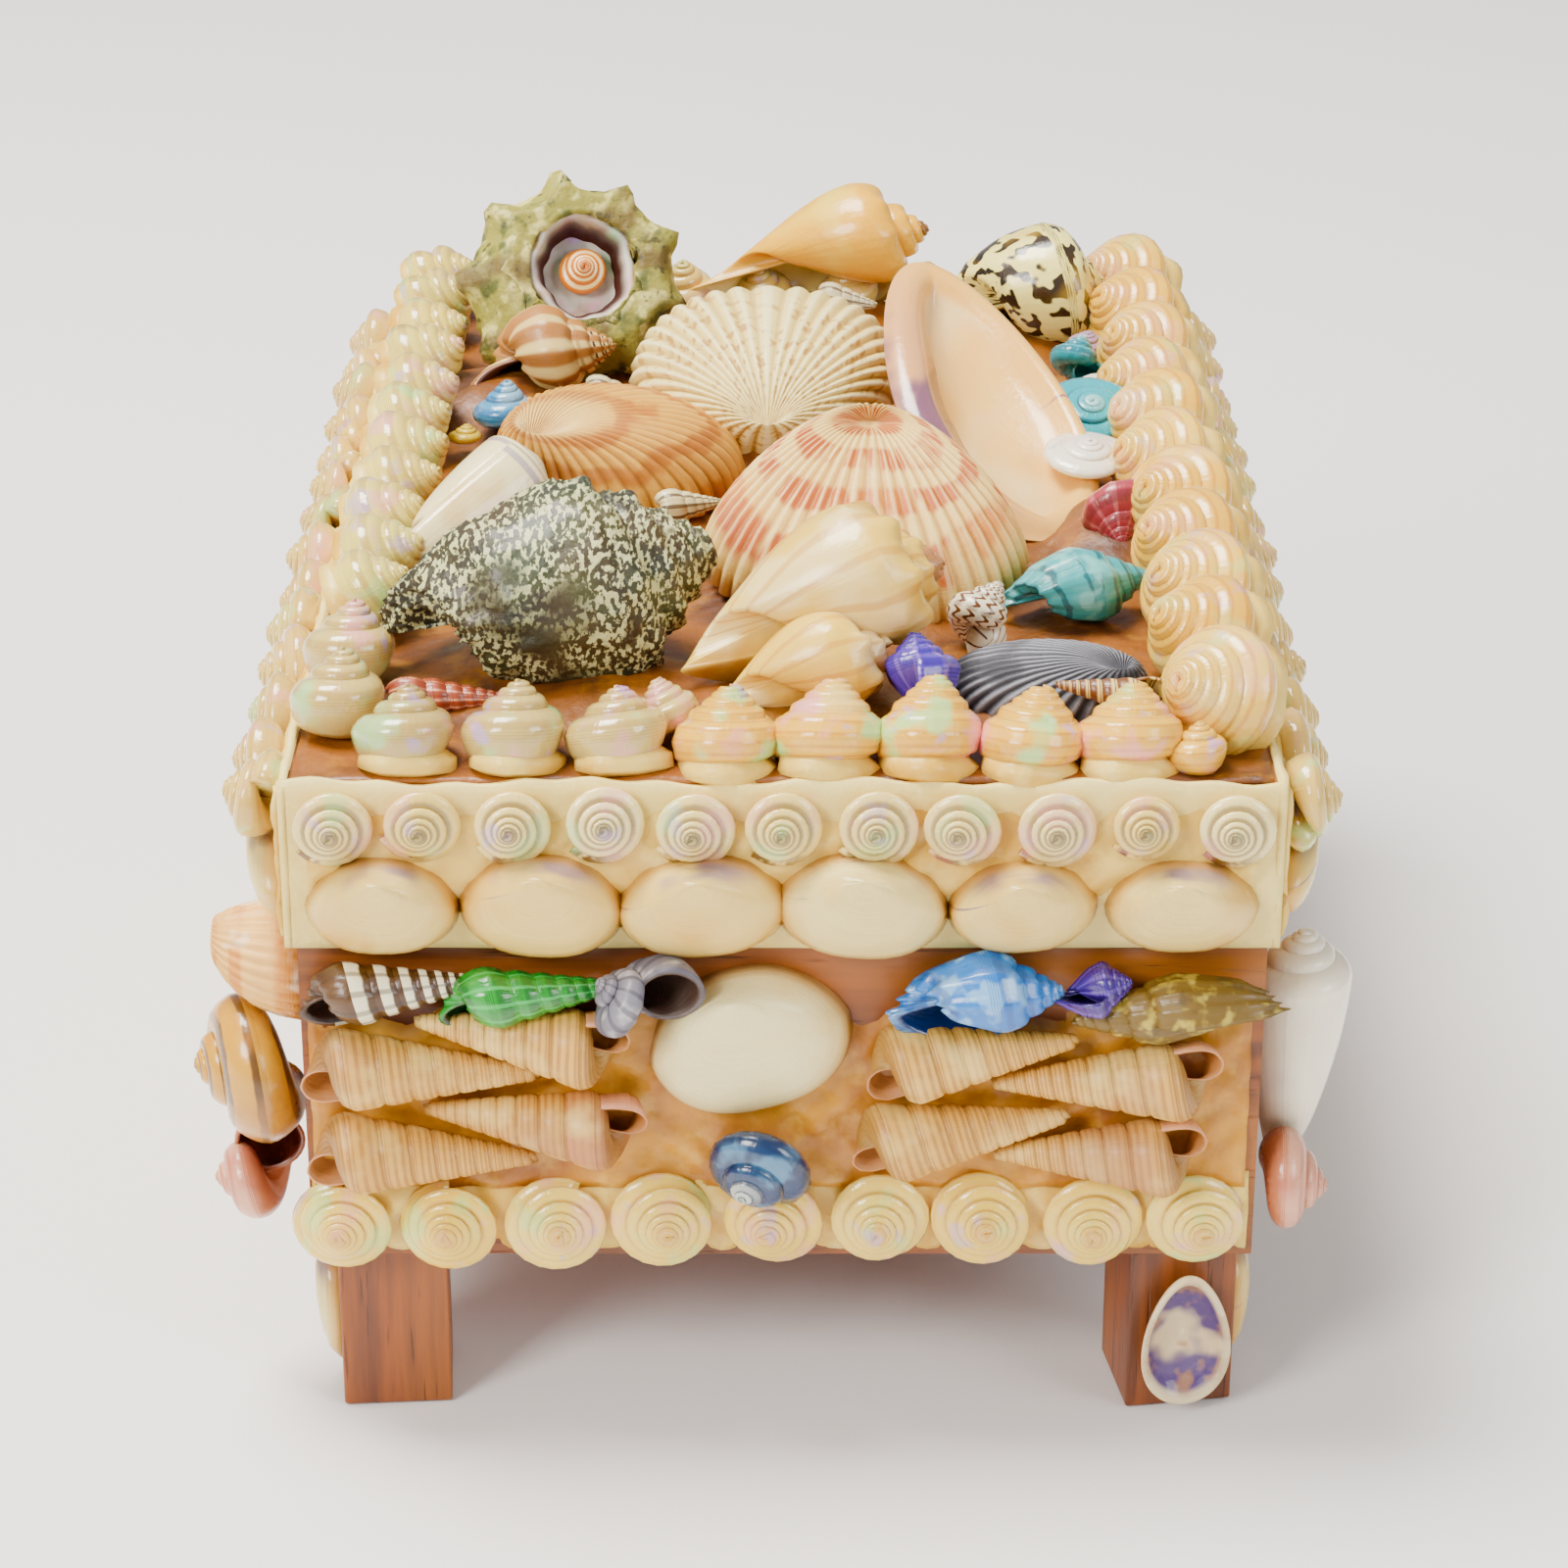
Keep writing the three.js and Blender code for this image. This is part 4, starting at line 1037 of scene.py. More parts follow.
violet = coilShell(3.2, 9.5, 5.0, 1.5, shoulder=0.5, ribs=9, ribSize=0.12, steps=36, sides=18)
glued(
    "violetSnail", violet, violetLook, onFront(0.554, shelf + 0.8, 3.4), (0.9, 0.2, 0.05),
    out, boxFront,
)

frontLump = lumps(7, 0.5, 51)


def frontGlueHeight(x, y):
    ridge = 0.9 * np.exp(-(((y - 8.6) / 4.0) ** 2)) + 0.7 * np.exp(-(((y - 21) / 9) ** 2))
    return np.clip(0.15 + ridge + frontLump(x, y) - 0.9 * np.clip((y - 29) / 4, 0, 1), -0.3, None)


show("frontGlue", sheet(-53, 52.5, 9.5, 37, frontGlueHeight, 0.9, -0.35).moved(boxFront), frontAmber)
show(
    "frontBaseGlue",
    sheet(
        -53.4, 53, 0.8, 11, lambda x, y: 1.3 + frontLump(x * 1.4, y) - 0.05 * (y - 6) ** 2, 0.9, -0.35
    ).moved(boxFront),
    creamGlue,
)
print("box front", flush=True)

# Box sides and rear
boxLeft = panel(-tau / 4, boxWidth / 2, legHeight)
boxRight = panel(tau / 4, boxWidth / 2, legHeight)
boxRear = panel(tau / 2, boxLength / 2, legHeight)


def wallRows(name, node, on, span, middle):
    clams, shells = [], []
    for x in spread(span, 22):
        clams.append(
            stuck(
                clam(20.5, 15, 6), (x + middle, 29, 0.1), out, (1, 0.15 + random.uniform(-0.1, 0.1), 0), on
            )
        )
    for x in spread(span, 14):
        shells.append(
            stuck(button(7.0, 6.2, 5.0, 1.5, overlap=0.75), (x + middle, 13, 0.1), out, anyTurn(), on)
        )
    lump, wave = lumps(11, 0.3, 61), lumps(24, 0.35, 71)

    def height(x, y):
        edge = np.minimum(span / 2 + 10 - np.abs(x - middle), 17 - np.abs(y - 20.5)) / 4
        return np.clip(0.5 + lump(x, y) - 1.4 * np.clip(1 - edge + wave(x, y), 0, 1), -0.3, None)

    bed = sheet(middle - span / 2 - 10, middle + span / 2 + 10, 3.5, 37.5, height, 0.9, -0.35).moved(on)
    show(name + "Clams", clams, finishOf("wallClam", wallLook), [node])
    show(name + "Buttons", shells, finishOf("basePearl", baseButtonLook), [node])
    show(name + "Glue", bed, creamGlue)


wallRows("leftWall", "left_wall_shells", boxLeft, 104.6, -12)
wallRows("rightWall", "right_wall_shells", boxRight, 104.6, 12)
wallRows("rearWall", "rear_wall_shells", boxRear, 81.6, 0)

lead = boxLength / 2 - 9
stripedLook = {
    "base": "cf9f60", "roughness": 0.3, "coat": 0.45, "inner": "f0d6b8", "shadow": "8a5c2e",
    "layers": [
        ("5b3a20", share(0.9, spiralBands(6, 0.72, 0.9, 0.35))),
        ("b9814a", share(0.5, spots(120, 0.5, 0.65))),
    ],
}
glued(
    "stripedSnail",
    coilShell(9.2, 13, 4.0, 2.1, steps=40, sides=30, cords=6, cordSize=0.015, tuck=0.1, overlap=1.1),
    stripedLook,
    (lead + 0.6, 21.8, 0.6),
    (0.25, 0, 1),
    (0, -1, 0),
    boxLeft,
)
coralLook = {
    "base": "ecc08e", "roughness": 0.5, "coat": 0.1, "shadow": "c47f66", "soft": 0.12,
    "layers": [
        (
            "d68c5e",
            share(
                0.7, lambda p: (p.get("grow") * 3.2).sine().above(0.5, 0.8) * p.noise(150).above(0.35, 0.6)
            ),
        ),
        ("f6ddc6", spots(200, 0.55, 0.68)),
    ],
}
coral = valveShell(17, 11.6, 11, ribs=26, ribSize=0.5, sides=130, steps=24, power=2.0)
glued("coralClam", coral, coralLook, (lead - 0.6, 33.6, 0.1), out, (-1, 0.2, 0), boxLeft)
pinkLook = {
    "base": "cf8f7c", "other": "c07c6c", "roughness": 0.3, "coat": 0.4, "shadow": "a5655a",
    "inner": "6b2f2c", "soft": 0.12,
    "layers": [
        ("e9bdae", share(0.8, spiralBands(3, 0.6, 0.85, 0.2))),
        ("c67f7b", share(0.5, spots(110, 0.5, 0.65))),
    ],
}
show(
    "pinkSnailLeft",
    stuck(
        coilShell(6.7, 11.2, 4.0, 2.1, steps=34, sides=26, tuck=0.1, overlap=1.1), (lead, 6.6, 0.9),
        (0.1, -0.1, 1), (0, 1, 0), boxLeft,
    ),
    finishOf("pinkSnail", pinkLook),
    ["pink_snail_left"],
)
show(
    "pinkSnailRight",
    stuck(
        coilShell(5.9, 8.8, 4.2, 1.9, steps=30, sides=24), (-lead - 2.8, 6.6, 0.6), (-0.1, -0.1, 1),
        (0, 1, 0), boxRight,
    ),
    finishOf("pinkSnail", pinkLook),
    ["pink_snail_right"],
)
cowrieLook = {
    **clamLook,
    "base": "f5eee0",
    "other": "f5eee0",
    "layers": [("d6c3c8", share(0.4, spots(60, 0.55, 0.7)))],
    "roughness": 0.22,
    "coat": 0.5,
    "inner": "e9c9b4",
}
cowrie = coilShell(
    6.2, 32.5, 4.4, 1.6, shoulder=0.76, canal=0.55, mouth=False, tuck=0.12, steps=40, sides=36
)
glued(
    "whiteCowrie", cowrie, cowrieLook, (-lead + 1.5, 4.6, 5), (0, 1, 0.02), (0.5, 0, -1),
    boxRight,
)

legLook = {
    "base": "f0e2c6", "roughness": 0.25, "coat": 0.5, "dirt": 0.1,
    "layers": [
        ("e8d3b8", lambda p: p.get("inside").above(0.2, 0.9)),
        (
            "6a5688",
            lambda p: p.noise(150, 2.0).above(0.36, 0.52) * p.get("grow").below(0.8, 0.95)
            * p.get("inside").above(0.2, 0.9),
        ),
        ("b58a70", lambda p: share(0.8, spots(260, 0.5, 0.62))(p) * p.get("inside").above(0.2, 0.9)),
    ],
}
for name, node, side, turn, face, width, height, look, slot in (
    (
        "legValveFront", "leg_valve_front", 1, legTurns["front_right"], 0, 10.4, 17.4, legLook,
        "violet_shell",
    ),
    ("legValveRight", "leg_valve_right", 1, legTurns["front_right"], 90, 9.8, 14, clamLook, "white_shell"),
    ("legValveLeft", "leg_valve_left", -1, legTurns["front_left"], -90, 9.8, 14, clamLook, "white_shell"),
):
    angle = math.radians(turn + face)
    facing = (math.sin(angle), -math.cos(angle), 0)
    at = np.array([side * legX, -legY, 10.2]) + (legWidth / 2 + 0.05) * np.array(facing)
    across = (math.cos(angle), math.sin(angle), 0)
    if face == 0:
        valve = place(dishShell(width, height, 2.6, 0.5), at, facing, across)
    else:
        valve = place(valveShell(width, height, 3.0, sides=40, steps=14), at, facing, [-a for a in across])
    show(name, valve.tinted(random.uniform(0, 1)), finishOf("leg" + slot, look), [node])
print("box sides", flush=True)

# Top shells
darkLook = {
    "base": "2a3020", "roughness": 0.55, "coat": 0.2, "dirt": 0.1, "bump": 0.0009, "lineSize": 0.1,
    "layers": [
        ("4a5636", share(0.6, spots(130, 0.5, 0.62))),
        (
            "c9c8a6",
            lambda p: p.noise(1700, 2.0, (1.0, 0.4, 0.7)).above(0.49, 0.56)
            * p.noise(70, 2.0).above(0.3, 0.46),
        ),
        ("15170f", spots(210, 0.6, 0.7)),
    ],
}
darkTurban = coilShell(
    13.8, 41, 5.0, 1.5, shoulder=0.5, canal=0.25, hole=0.5, knobs=9, knobSize=0.12, knobAt=0.6, cords=10,
    cordSize=0.035, rough=0.021, steps=90, sides=72, mouth=False, tuck=0.2,
)
glued(
    "darkTurban", darkTurban, darkLook, spot(-0.8, -0.7, 6.2), (1, 0.35, 0.2), (-0.35, 1, 0)
)

conchLook = {
    "base": "e6c480", "roughness": 0.32, "coat": 0.35, "soft": 0.14, "inner": "f0d9a8", "shadow": "c99854",
    "dirt": 0.2,
    "layers": [
        ("a9776a", share(0.9, lambda p: p.get("grow").below(0.45, 0.72))),
        ("f6e6bf", share(0.7, spots(90, 0.5, 0.65))),
        ("c8905a", share(0.5, turnBands(10, 0.8, 0.98, 0.3))),
    ],
}
conch = coilShell(
    10.6, 33, 4.8, 1.9, shoulder=0.58, canal=0.75, knobs=7, knobSize=0.3, steps=60, sides=44, mouth=False,
    tuck=0.1,
)
conchLip = coilShell(
    7.0, 23, 2.6, 1.9, shoulder=0.5, canal=0.7, knobs=6, knobSize=0.32, steps=60, sides=40, mouth=False,
    tuck=0.2,
)
show(
    "beigeConch",
    [
        place(conchLip, spot(-0.15, -0.81, 3.4), (1, 0.3, 0.2), (0.06, 0.2, -0.95)),
        place(conch, spot(-0.215, -0.755, 7.6), (1, 0.35, 0.22), (0.06, 0.2, -0.95)),
    ],
    shellFinish("beigeConch", conchLook),
    ["beige_conch"],
)

arkLook = {
    "base": "6f7078", "roughness": 0.6, "coat": 0.05, "dirt": 0.3, "shadow": "4c4a50",
    "layers": [
        # painted highlight on the rib crests (b4b5bb) and painted shade in the grooves between them
        # (26282f)
        ("b4b5bb", share(0.7, lambda p: (p.get("across") * 34 + 0.25).sine().above(0.6, 0.95))),
        ("26282f", share(0.85, lambda p: 1 - (p.get("across") * 34 + 0.25).sine().above(0.1, 0.4))),
        ("3d3f49", spots(90, 0.56, 0.68)),
    ],
}
ark = valveShell(12.5, 24, 8, ribs=34, ribSize=0.5, sides=170, steps=28)
glued("greyArk", ark, arkLook, spot(0.54, -0.72, 0.1), (0.1, -0.35, 1), (0.1, 1, 0.3))

smallAugerLook = {
    "base": "e6cfa6", "roughness": 0.35, "coat": 0.3,
    "layers": [("6f3f24", spiralBands(2, 0.62, 0.8)), ("a5714a", share(0.5, spots(300, 0.55, 0.7)))],
}
glued(
    "smallAuger", coilShell(2.3, 15, 8, 1.25, ribs=8, ribSize=0.05, steps=28, sides=16), smallAugerLook,
    spot(0.79, -0.835, 4.4), (-1, 0.1, 0.12), out,
)
purpleLook = {
    "base": "7462b8", "roughness": 0.3, "coat": 0.5, "inner": "3f2f78", "shadow": "41307c",
    "layers": [
        ("a08fd6", share(0.8, turnBands(9, 0.7, 0.95))), ("4b3a8e", share(0.7, spiralBands(4, 0.65, 0.9)))
    ],
}
glued(
    "purpleWhelk",
    coilShell(4.5, 12.0, 4.8, 1.55, shoulder=0.5, ribs=10, ribSize=0.12, lip=0.2, steps=40, sides=22),
    purpleLook,
    spot(0.29, -0.82, 0.1),
    (-0.1, 0.6, 0.85),
    (0, -1, 0),
)
snailLook = {
    "base": "f2ead8", "roughness": 0.28, "coat": 0.5,
    "layers": [
        (
            "6b3a1e",
            lambda p: (p.get("turn") * 11 + (p.get("across") * 9).sine() * 0.5).sine().above(0.62, 0.8),
        )
    ],
}
glued(
    "spottedSnail", coilShell(4.3, 9.8, 4.6, 1.7, steps=30, sides=24, mouth=False, tuck=0.15), snailLook,
    spot(0.37, -0.585, 1.8), (0.35, 0.25, 0.5), right,
)
rustLook = {
    "base": "a8574e", "roughness": 0.4, "coat": 0.35, "shadow": "6b2f2a", "inner": "5f2622",
    "layers": [
        ("e0a896", share(0.8, turnBands(11, 0.7, 0.95))), ("7c3530", share(0.7, spiralBands(2, 0.6, 0.9)))
    ],
}
glued(
    "pinkCerith",
    coilShell(2.4, 17, 7.5, 1.22, ribs=11, ribSize=0.12, cords=3, cordSize=0.05, steps=44, sides=18),
    rustLook,
    spot(-0.81, -0.76, 2.2),
    (1, 0.02, -0.02),
    out,
)
tealLook = {
    "base": "68aeb0", "roughness": 0.32, "coat": 0.4, "shadow": "2f6c74", "inner": "2b5f66",
    "layers": [
        (
            "2c6a72",
            share(0.85, lambda p: (p.get("across") * 9 + p.noise(240) * 0.8).sine().above(0.72, 0.9)),
        ),
        ("a3d6d2", share(0.6, spots(260, 0.52, 0.66))),
    ],
}
glued(
    "tealWhelk",
    coilShell(
        5.2, 19.5, 4.8, 1.6, shoulder=0.4, canal=0.35, ribs=9, ribSize=0.07, cords=9, cordSize=0.03,
        steps=44, sides=36, mouth=False, tuck=0.15,
    ),
    tealLook,
    spot(0.48, -0.485, 3.9),
    (0.95, 0.42, 0.05),
    (-0.33, 0.81, -0.48),
)
print("front top shells", flush=True)


# A mask along the rib crests, used for a painted highlight on them
def ribShade(count, low, high):
    return lambda p: (p.get("across") * count + 0.25).sine().above(low, high)


# A mask in the grooves between ribs, used for painted shade there
def grooveShade(count):
    return lambda p: 1 - (p.get("across") * count + 0.25).sine().above(0.0, 0.3)


def cockle(width, height, depth, foot, ribs=42):
    return valveShell(
        width, height, depth, ribs=ribs, ribSize=0.75, sides=ribs * 6, steps=34, foot=foot, rings=11,
        ringSize=0.05, beak=0.46,
    )


salmonLook = {
    "base": "edcf9a", "roughness": 0.48, "coat": 0.12, "soft": 0.12, "shadow": "cf9560", "dirt": 0.2,
    "lines": 80,
    "layers": [
        (
            "c2683a",
            lambda p: (p.get("grow") * 4.2 + p.noise(60, 3.0) * 1.4).sine().above(0.2, 0.7)
            * p.grown(0.8, 40, 2.0).above(0.32, 0.54),
        ),
        ("dfa06c", share(0.7, spots(60, 0.48, 0.65))),
        # painted highlight on the rib crests (f6e4bc) and painted shade in the grooves (b27a40)
        ("f6e4bc", share(0.4, ribShade(42, 0.75, 0.95))), ("b27a40", share(0.55, grooveShade(42))),
    ],
}
glued(
    "cockleFront", cockle(39, 29, 13, 6), salmonLook, spot(0.18, -0.315, 4.6), (0, -0.3, 1),
    (-1, 0.06, 0),
)
tanLook = {
    "base": "e5b578", "roughness": 0.45, "coat": 0.15, "soft": 0.12, "shadow": "b97a45", "dirt": 0.25,
    "lines": 80,
    "layers": [
        (
            "bf7a42",
            share(0.8, lambda p: (p.get("grow") * 3.0 + p.noise(90, 3.0) * 1.8).sine().above(0.35, 0.9)),
        ),
        ("f0d8a8", share(0.6, lambda p: p.get("grow").below(0.2, 0.5))),
        # painted shade: 9a5f30 darkens the grooves between the ribs
        ("9a5f30", share(0.45, grooveShade(42))),
    ],
}
glued(
    "cockleLeft", cockle(29.5, 34, 12.8, 4), tanLook, spot(-0.385, 0.03, 3.6),
    (0.02, -0.1, 1), (0.75, -0.66, 0),
)
creamRibLook = {
    "base": "edd9a6", "roughness": 0.45, "coat": 0.15, "soft": 0.12, "shadow": "cfae7c", "dirt": 0.18,
    "lines": 80,
    "layers": [
        (
            "b07c4e",
            share(0.75, lambda p: p.grown(4, 36, 2.0).above(0.52, 0.62) * p.noise(40).above(0.4, 0.56)),
        ),
        # painted highlight on the rib crests (f9efd2) and painted shade in the grooves (b78f58)
        ("f9efd2", share(0.6, ribShade(36, 0.7, 0.95))),
        ("b78f58", share(0.5, grooveShade(36))),
    ],
}
glued(
    "cockleRear", cockle(35.5, 28.5, 10.5, 4, 36), creamRibLook, spot(-0.035, 0.27, 9.4),
    (0, -0.62, 0.86), (1, 0, 0),
)

paleOliveLook = {
    "base": "f1e3c2", "roughness": 0.2, "coat": 0.6, "soft": 0.14, "inner": "e4c9a6",
    "layers": [
        ("9d93a8", share(0.7, lambda p: (p.get("across") * 1.0 + 0.05).sine().above(0.72, 0.92))),
        ("d9a869", share(0.4, spots(80, 0.55, 0.7))),
    ],
}
glued(
    "paleOlive",
    coilShell(
        6.8, 24, 5.4, 1.35, shoulder=0.78, canal=0.2, hole=0.6, steps=36, sides=36, mouth=False, tuck=0.12
    ),
    paleOliveLook,
    spot(-0.83, -0.35, 4.4),
    (0.62, 0.6, 0.3),
    (0, -0.5, 1),
)
roseLook = {
    "base": "ae4f66", "roughness": 0.35, "coat": 0.4, "shadow": "6f2a3c",
    "layers": [
        ("d58a96", share(0.7, turnBands(10, 0.75, 0.97))), ("7c2f44", share(0.7, spiralBands(3, 0.65, 0.9)))
    ],
}
glued(
    "roseTurban",
    coilShell(4.8, 9.2, 4.4, 1.7, ribs=9, ribSize=0.07, cords=4, cordSize=0.04, steps=36, sides=22),
    roseLook,
    spot(0.745, -0.1, 6),
    (0.05, -0.6, -0.32),
    right,
)
whiteLook = {
    "base": "f6f1e6",
    "roughness": 0.18,
    "coat": 0.7,
    "nacre": 0.25,
    "soft": 0.12,
    "layers": [("b9b3a6", share(0.5, spots(260, 0.6, 0.7)))],
}
show(
    "pearlButton",
    place(coilShell(6.4, 5.6, 4.6, 1.7, steps=34, sides=22), spot(0.7, 0.05, 3.4), (0.1, -0.2, 1), right),
    finishOf("whiteButton", whiteLook),
    ["pearl_button"],
)
turquoiseLook = {
    "base": "5fb3bd", "roughness": 0.25, "coat": 0.6, "shadow": "2c7480",
    "layers": [
        ("2c7c8c", share(0.8, spiralBands(3, 0.65, 0.9, 0.2))),
        ("c4e6e2", share(0.6, lambda p: p.get("grow").below(0.25, 0.5))),
    ],
}
show(
    "turquoiseButton",
    place(coilShell(7.1, 5.8, 4.6, 1.75, steps=34, sides=22), spot(0.72, 0.23, 4), (0.1, -0.45, 1), right),
    finishOf("turquoise", turquoiseLook),
    ["turquoise_button"],
)
show(
    "tealRibbedSnail",
    place(
        coilShell(3.8, 7.2, 4.6, 1.65, ribs=12, ribSize=0.1, steps=44, sides=18), spot(0.7, 0.5, 2.6),
        (0.3, 0.5, 0.8), right,
    ),
    finishOf("turquoise", turquoiseLook),
    ["teal_ribbed_snail"],
)
show(
    "whiteSpiralSnail",
    place(coilShell(3.5, 5.6, 4.6, 1.6), spot(0.76, 0.4, 2.4), (-0.1, -0.5, 0.8), right),
    finishOf("whiteButton", whiteLook),
    ["white_spiral_snail"],
)

boatLook = {
    "base": "eec08a", "roughness": 0.22, "coat": 0.5, "soft": 0.14, "dirt": 0.1, "lineSize": 0.1,
    "layers": [
        ("f7ddb8", lambda p: p.get("inside").above(0.6, 1.0) * p.noise(45, 2.0).above(0.4, 0.65)),
        ("d9a98c", lambda p: p.get("across").near(0.5, 0.08, 0.3) * p.get("grow").above(0.6, 0.85)),
        (
            "74577c",
            share(
                0.9,
                lambda p: p.get("across").near(0.5, 0.05, 0.26) * p.get("grow").above(0.72, 0.95) * p.noise(
                    90, 3.0, (1.0, 0.4, 1.0)
                ).above(0.42, 0.56),
            ),
        ),
        ("e9b06a", share(0.7, spots(40, 0.5, 0.7))),
    ],
}
glued(
    "boatShell", dishShell(24.5, 48, 5.5, 1.1, roll=2.6, sides=120), boatLook,
    spot(0.43, 0.13, 7.4), (0.3, -0.42, 0.9), (1, 0.45, -0.1),
)

blueTopLook = {
    **blueLook,
    "base": "6a9fc0",
    "layers": [
        ("3f78a4", share(0.7, spiralBands(3, 0.6, 0.9, 0.2))), ("b9d3de", share(0.6, spots(180, 0.5, 0.66)))
    ],
}
glued(
    "blueTopShell", coilShell(4.9, 9, 4.6, 1.6, cords=5, cordSize=0.03), blueTopLook,
    spot(-0.66, 0.29, 0.4), (0.05, 0.1, 1), right,
)
whelkLook = {
    "base": "b5835f", "roughness": 0.4, "coat": 0.2, "inner": "5a2c22", "shadow": "8a5a48",
    "layers": [
        ("e6cfa0", share(0.85, lambda p: (p.get("turn") * 9).sine().above(0.35, 0.85))),
        (
            "4a2f1c",
            lambda p: (p.get("across") * 8).sine().above(0.7, 0.85) * p.get("grow").below(0.55, 0.75) * (
                p.get("turn") * 9
            ).sine().above(0.4, 0.7),
        ),
    ],
}
glued(
    "ribbedWhelk",
    coilShell(
        7.2, 20, 5.4, 1.55, shoulder=0.32, canal=0.2, ribs=9, ribSize=0.13, cords=8, cordSize=0.015,
        lip=0.25, steps=54, sides=34,
    ),
    whelkLook,
    spot(-0.75, 0.47, 6.2),
    (1, 0.05, 0.12),
    (0.09, -0.66, -0.48),
)

# The spiny turban, its spire cut open to show the mother-of-pearl inside
mossLook = {
    "base": "a39a5e", "roughness": 0.6, "coat": 0.05, "dirt": 0.3, "bump": 0.0007, "shadow": "6b6a3c",
    "lineSize": 0.15,
    "layers": [
        ("e0d6a0", share(0.8, spots(320, 0.5, 0.62))),
        ("4f5a2e", share(0.85, spots(260, 0.52, 0.64))),
        ("6b4c28", share(0.8, spots(120, 0.5, 0.64))),
        ("3d3620", share(0.8, spots(500, 0.6, 0.68))),
    ],
}
cutHeight, cutRadius = 17.0, 7.0
spiny = coilShell(
    16.0, 27, 3.8, 1.8, cords=5, cordSize=0.05, knobs=9, knobSize=0.42, knobAt=0.25, rough=0.022, steps=72,
    sides=44, mouth=False, tuck=0.3,
)
flatRadius = np.hypot(spiny.points[:, 0], spiny.points[:, 1])
spiny.points[:, 2] = np.minimum(
    spiny.points[:, 2], np.where(flatRadius < cutRadius, cutHeight - 9, cutHeight + 1)
)
spinyAxis, spinyFacing, spinyAt = (0.12, -0.8, 0.5), out, spot(-0.51, 0.68, 11.6)
spinyBase = np.array([0, 0, -0.42 * 21])
glued(
    "spinyTurban", Part(spiny.points + spinyBase, spiny.faces, spiny.values), mossLook,
    spinyAt, spinyAxis, spinyFacing,
)


def cutRing():
    around = np.linspace(0, tau, 72, endpoint=False)[None, :]
    wobble = 1 + 0.07 * np.sin(2 * around + 1) + 0.04 * np.sin(5 * around) + 0.02 * np.sin(11 * around)
    profile = [
        (8.0, -4.0), (8.0, -0.8), (7.6, 0.5), (7.0, 0.9), (6.5, 0.6), (6.0, -0.5), (5.7, -2.4), (4.8, -4.6),
        (1.5, -5.4),
    ]
    rings = [
        np.stack([r * wobble * np.cos(around), r * wobble * np.sin(around), np.full_like(around, z)], -1)[0]
        for r, z in profile
    ]
    inside = np.array([0, 0, 0, 0, 0.1, 0.7, 1, 1, 1])[:, None]
    return skin(np.array(rings), {"grow": inside, "across": around / tau, "turn": 0.0, "inside": inside})


cutLook = {
    "base": "d9d4cc", "roughness": 0.45, "coat": 0.2, "nacre": 0.4, "dirt": 0.15,
    "layers": [
        ("a8805c", share(0.6, spots(200, 0.5, 0.66))), ("7b7480", share(0.6, spots(120, 0.52, 0.66)))
    ],
    "inner": "54200e",
}
coreLook = {
    "base": "dc8840",
    "roughness": 0.3,
    "coat": 0.4,
    "layers": [
        ("fbe0b4", share(0.9, lambda p: (p.get("across") + 0.1).sine().above(0.985, 0.998))),
        ("b5622e", share(0.6, lambda p: p.get("grow").below(0.1, 0.4))),
    ],
}
ringBase = np.array([0, 0, cutHeight - 0.42 * 21 - 0.4])
ring = cutRing()
show(
    "spinyTurbanCut",
    place(Part(ring.points + ringBase, ring.faces, ring.values), spinyAt, spinyAxis, spinyFacing),
    shellFinish("spinyTurbanCut", cutLook),
    ["spiny_turban"],
)
core = coilShell(3.7, 4.8, 4.4, 1.5, steps=34, sides=16, mouth=False, sit=True, tuck=0.26)
coreAt = np.array([0.6, -0.4, cutHeight - 0.42 * 21 - 4.6])
show(
    "spinyTurbanCore",
    place(Part(core.points + coreAt, core.faces, core.values), spinyAt, spinyAxis, spinyFacing),
    shellFinish("spinyTurbanCore", coreLook),
    ["spiny_turban"],
)

neriteLook = {
    "base": "efe2a8", "roughness": 0.25, "coat": 0.5,
    "layers": [
        ("1f1c16", lambda p: p.grown(20, 20, 1.0).above(0.5, 0.56)),
        ("c8a85e", share(0.5, spots(90, 0.52, 0.66))),
    ],
}
nerite = coilShell(
    10.8, 26, 3.4, 2.0, shoulder=0.56, canal=0.25, steps=60, sides=48, cords=12, cordSize=0.012
)
neriteAt = np.array([0, 0, -10.5])
glued(
    "spottedNerite", Part(nerite.points + neriteAt, nerite.faces, nerite.values), neriteLook,
    spot(0.56, 0.76, 6.8), (1, 0.2, 0.05), (0, 0.4, -1),
)
yellowConchLook = {
    **conchLook,
    "base": "ecb656",
    "layers": [
        ("7a4a30", share(0.95, lambda p: p.get("grow").below(0.3, 0.5))),
        ("f2d688", share(0.7, spots(80, 0.5, 0.66))),
    ],
}
yellowConch = coilShell(
    8.8, 32, 5.0, 1.85, shoulder=0.6, canal=0.85, knobs=8, knobSize=0.12, lip=0.4, steps=56, sides=40,
    wall=0.1,
)
glued(
    "yellowConch", yellowConch, yellowConchLook, spot(-0.19, 0.86, 8), (1, 0.06, 0.2),
    (0.06, 0.42, -0.93),
)
print("rear top shells", flush=True)

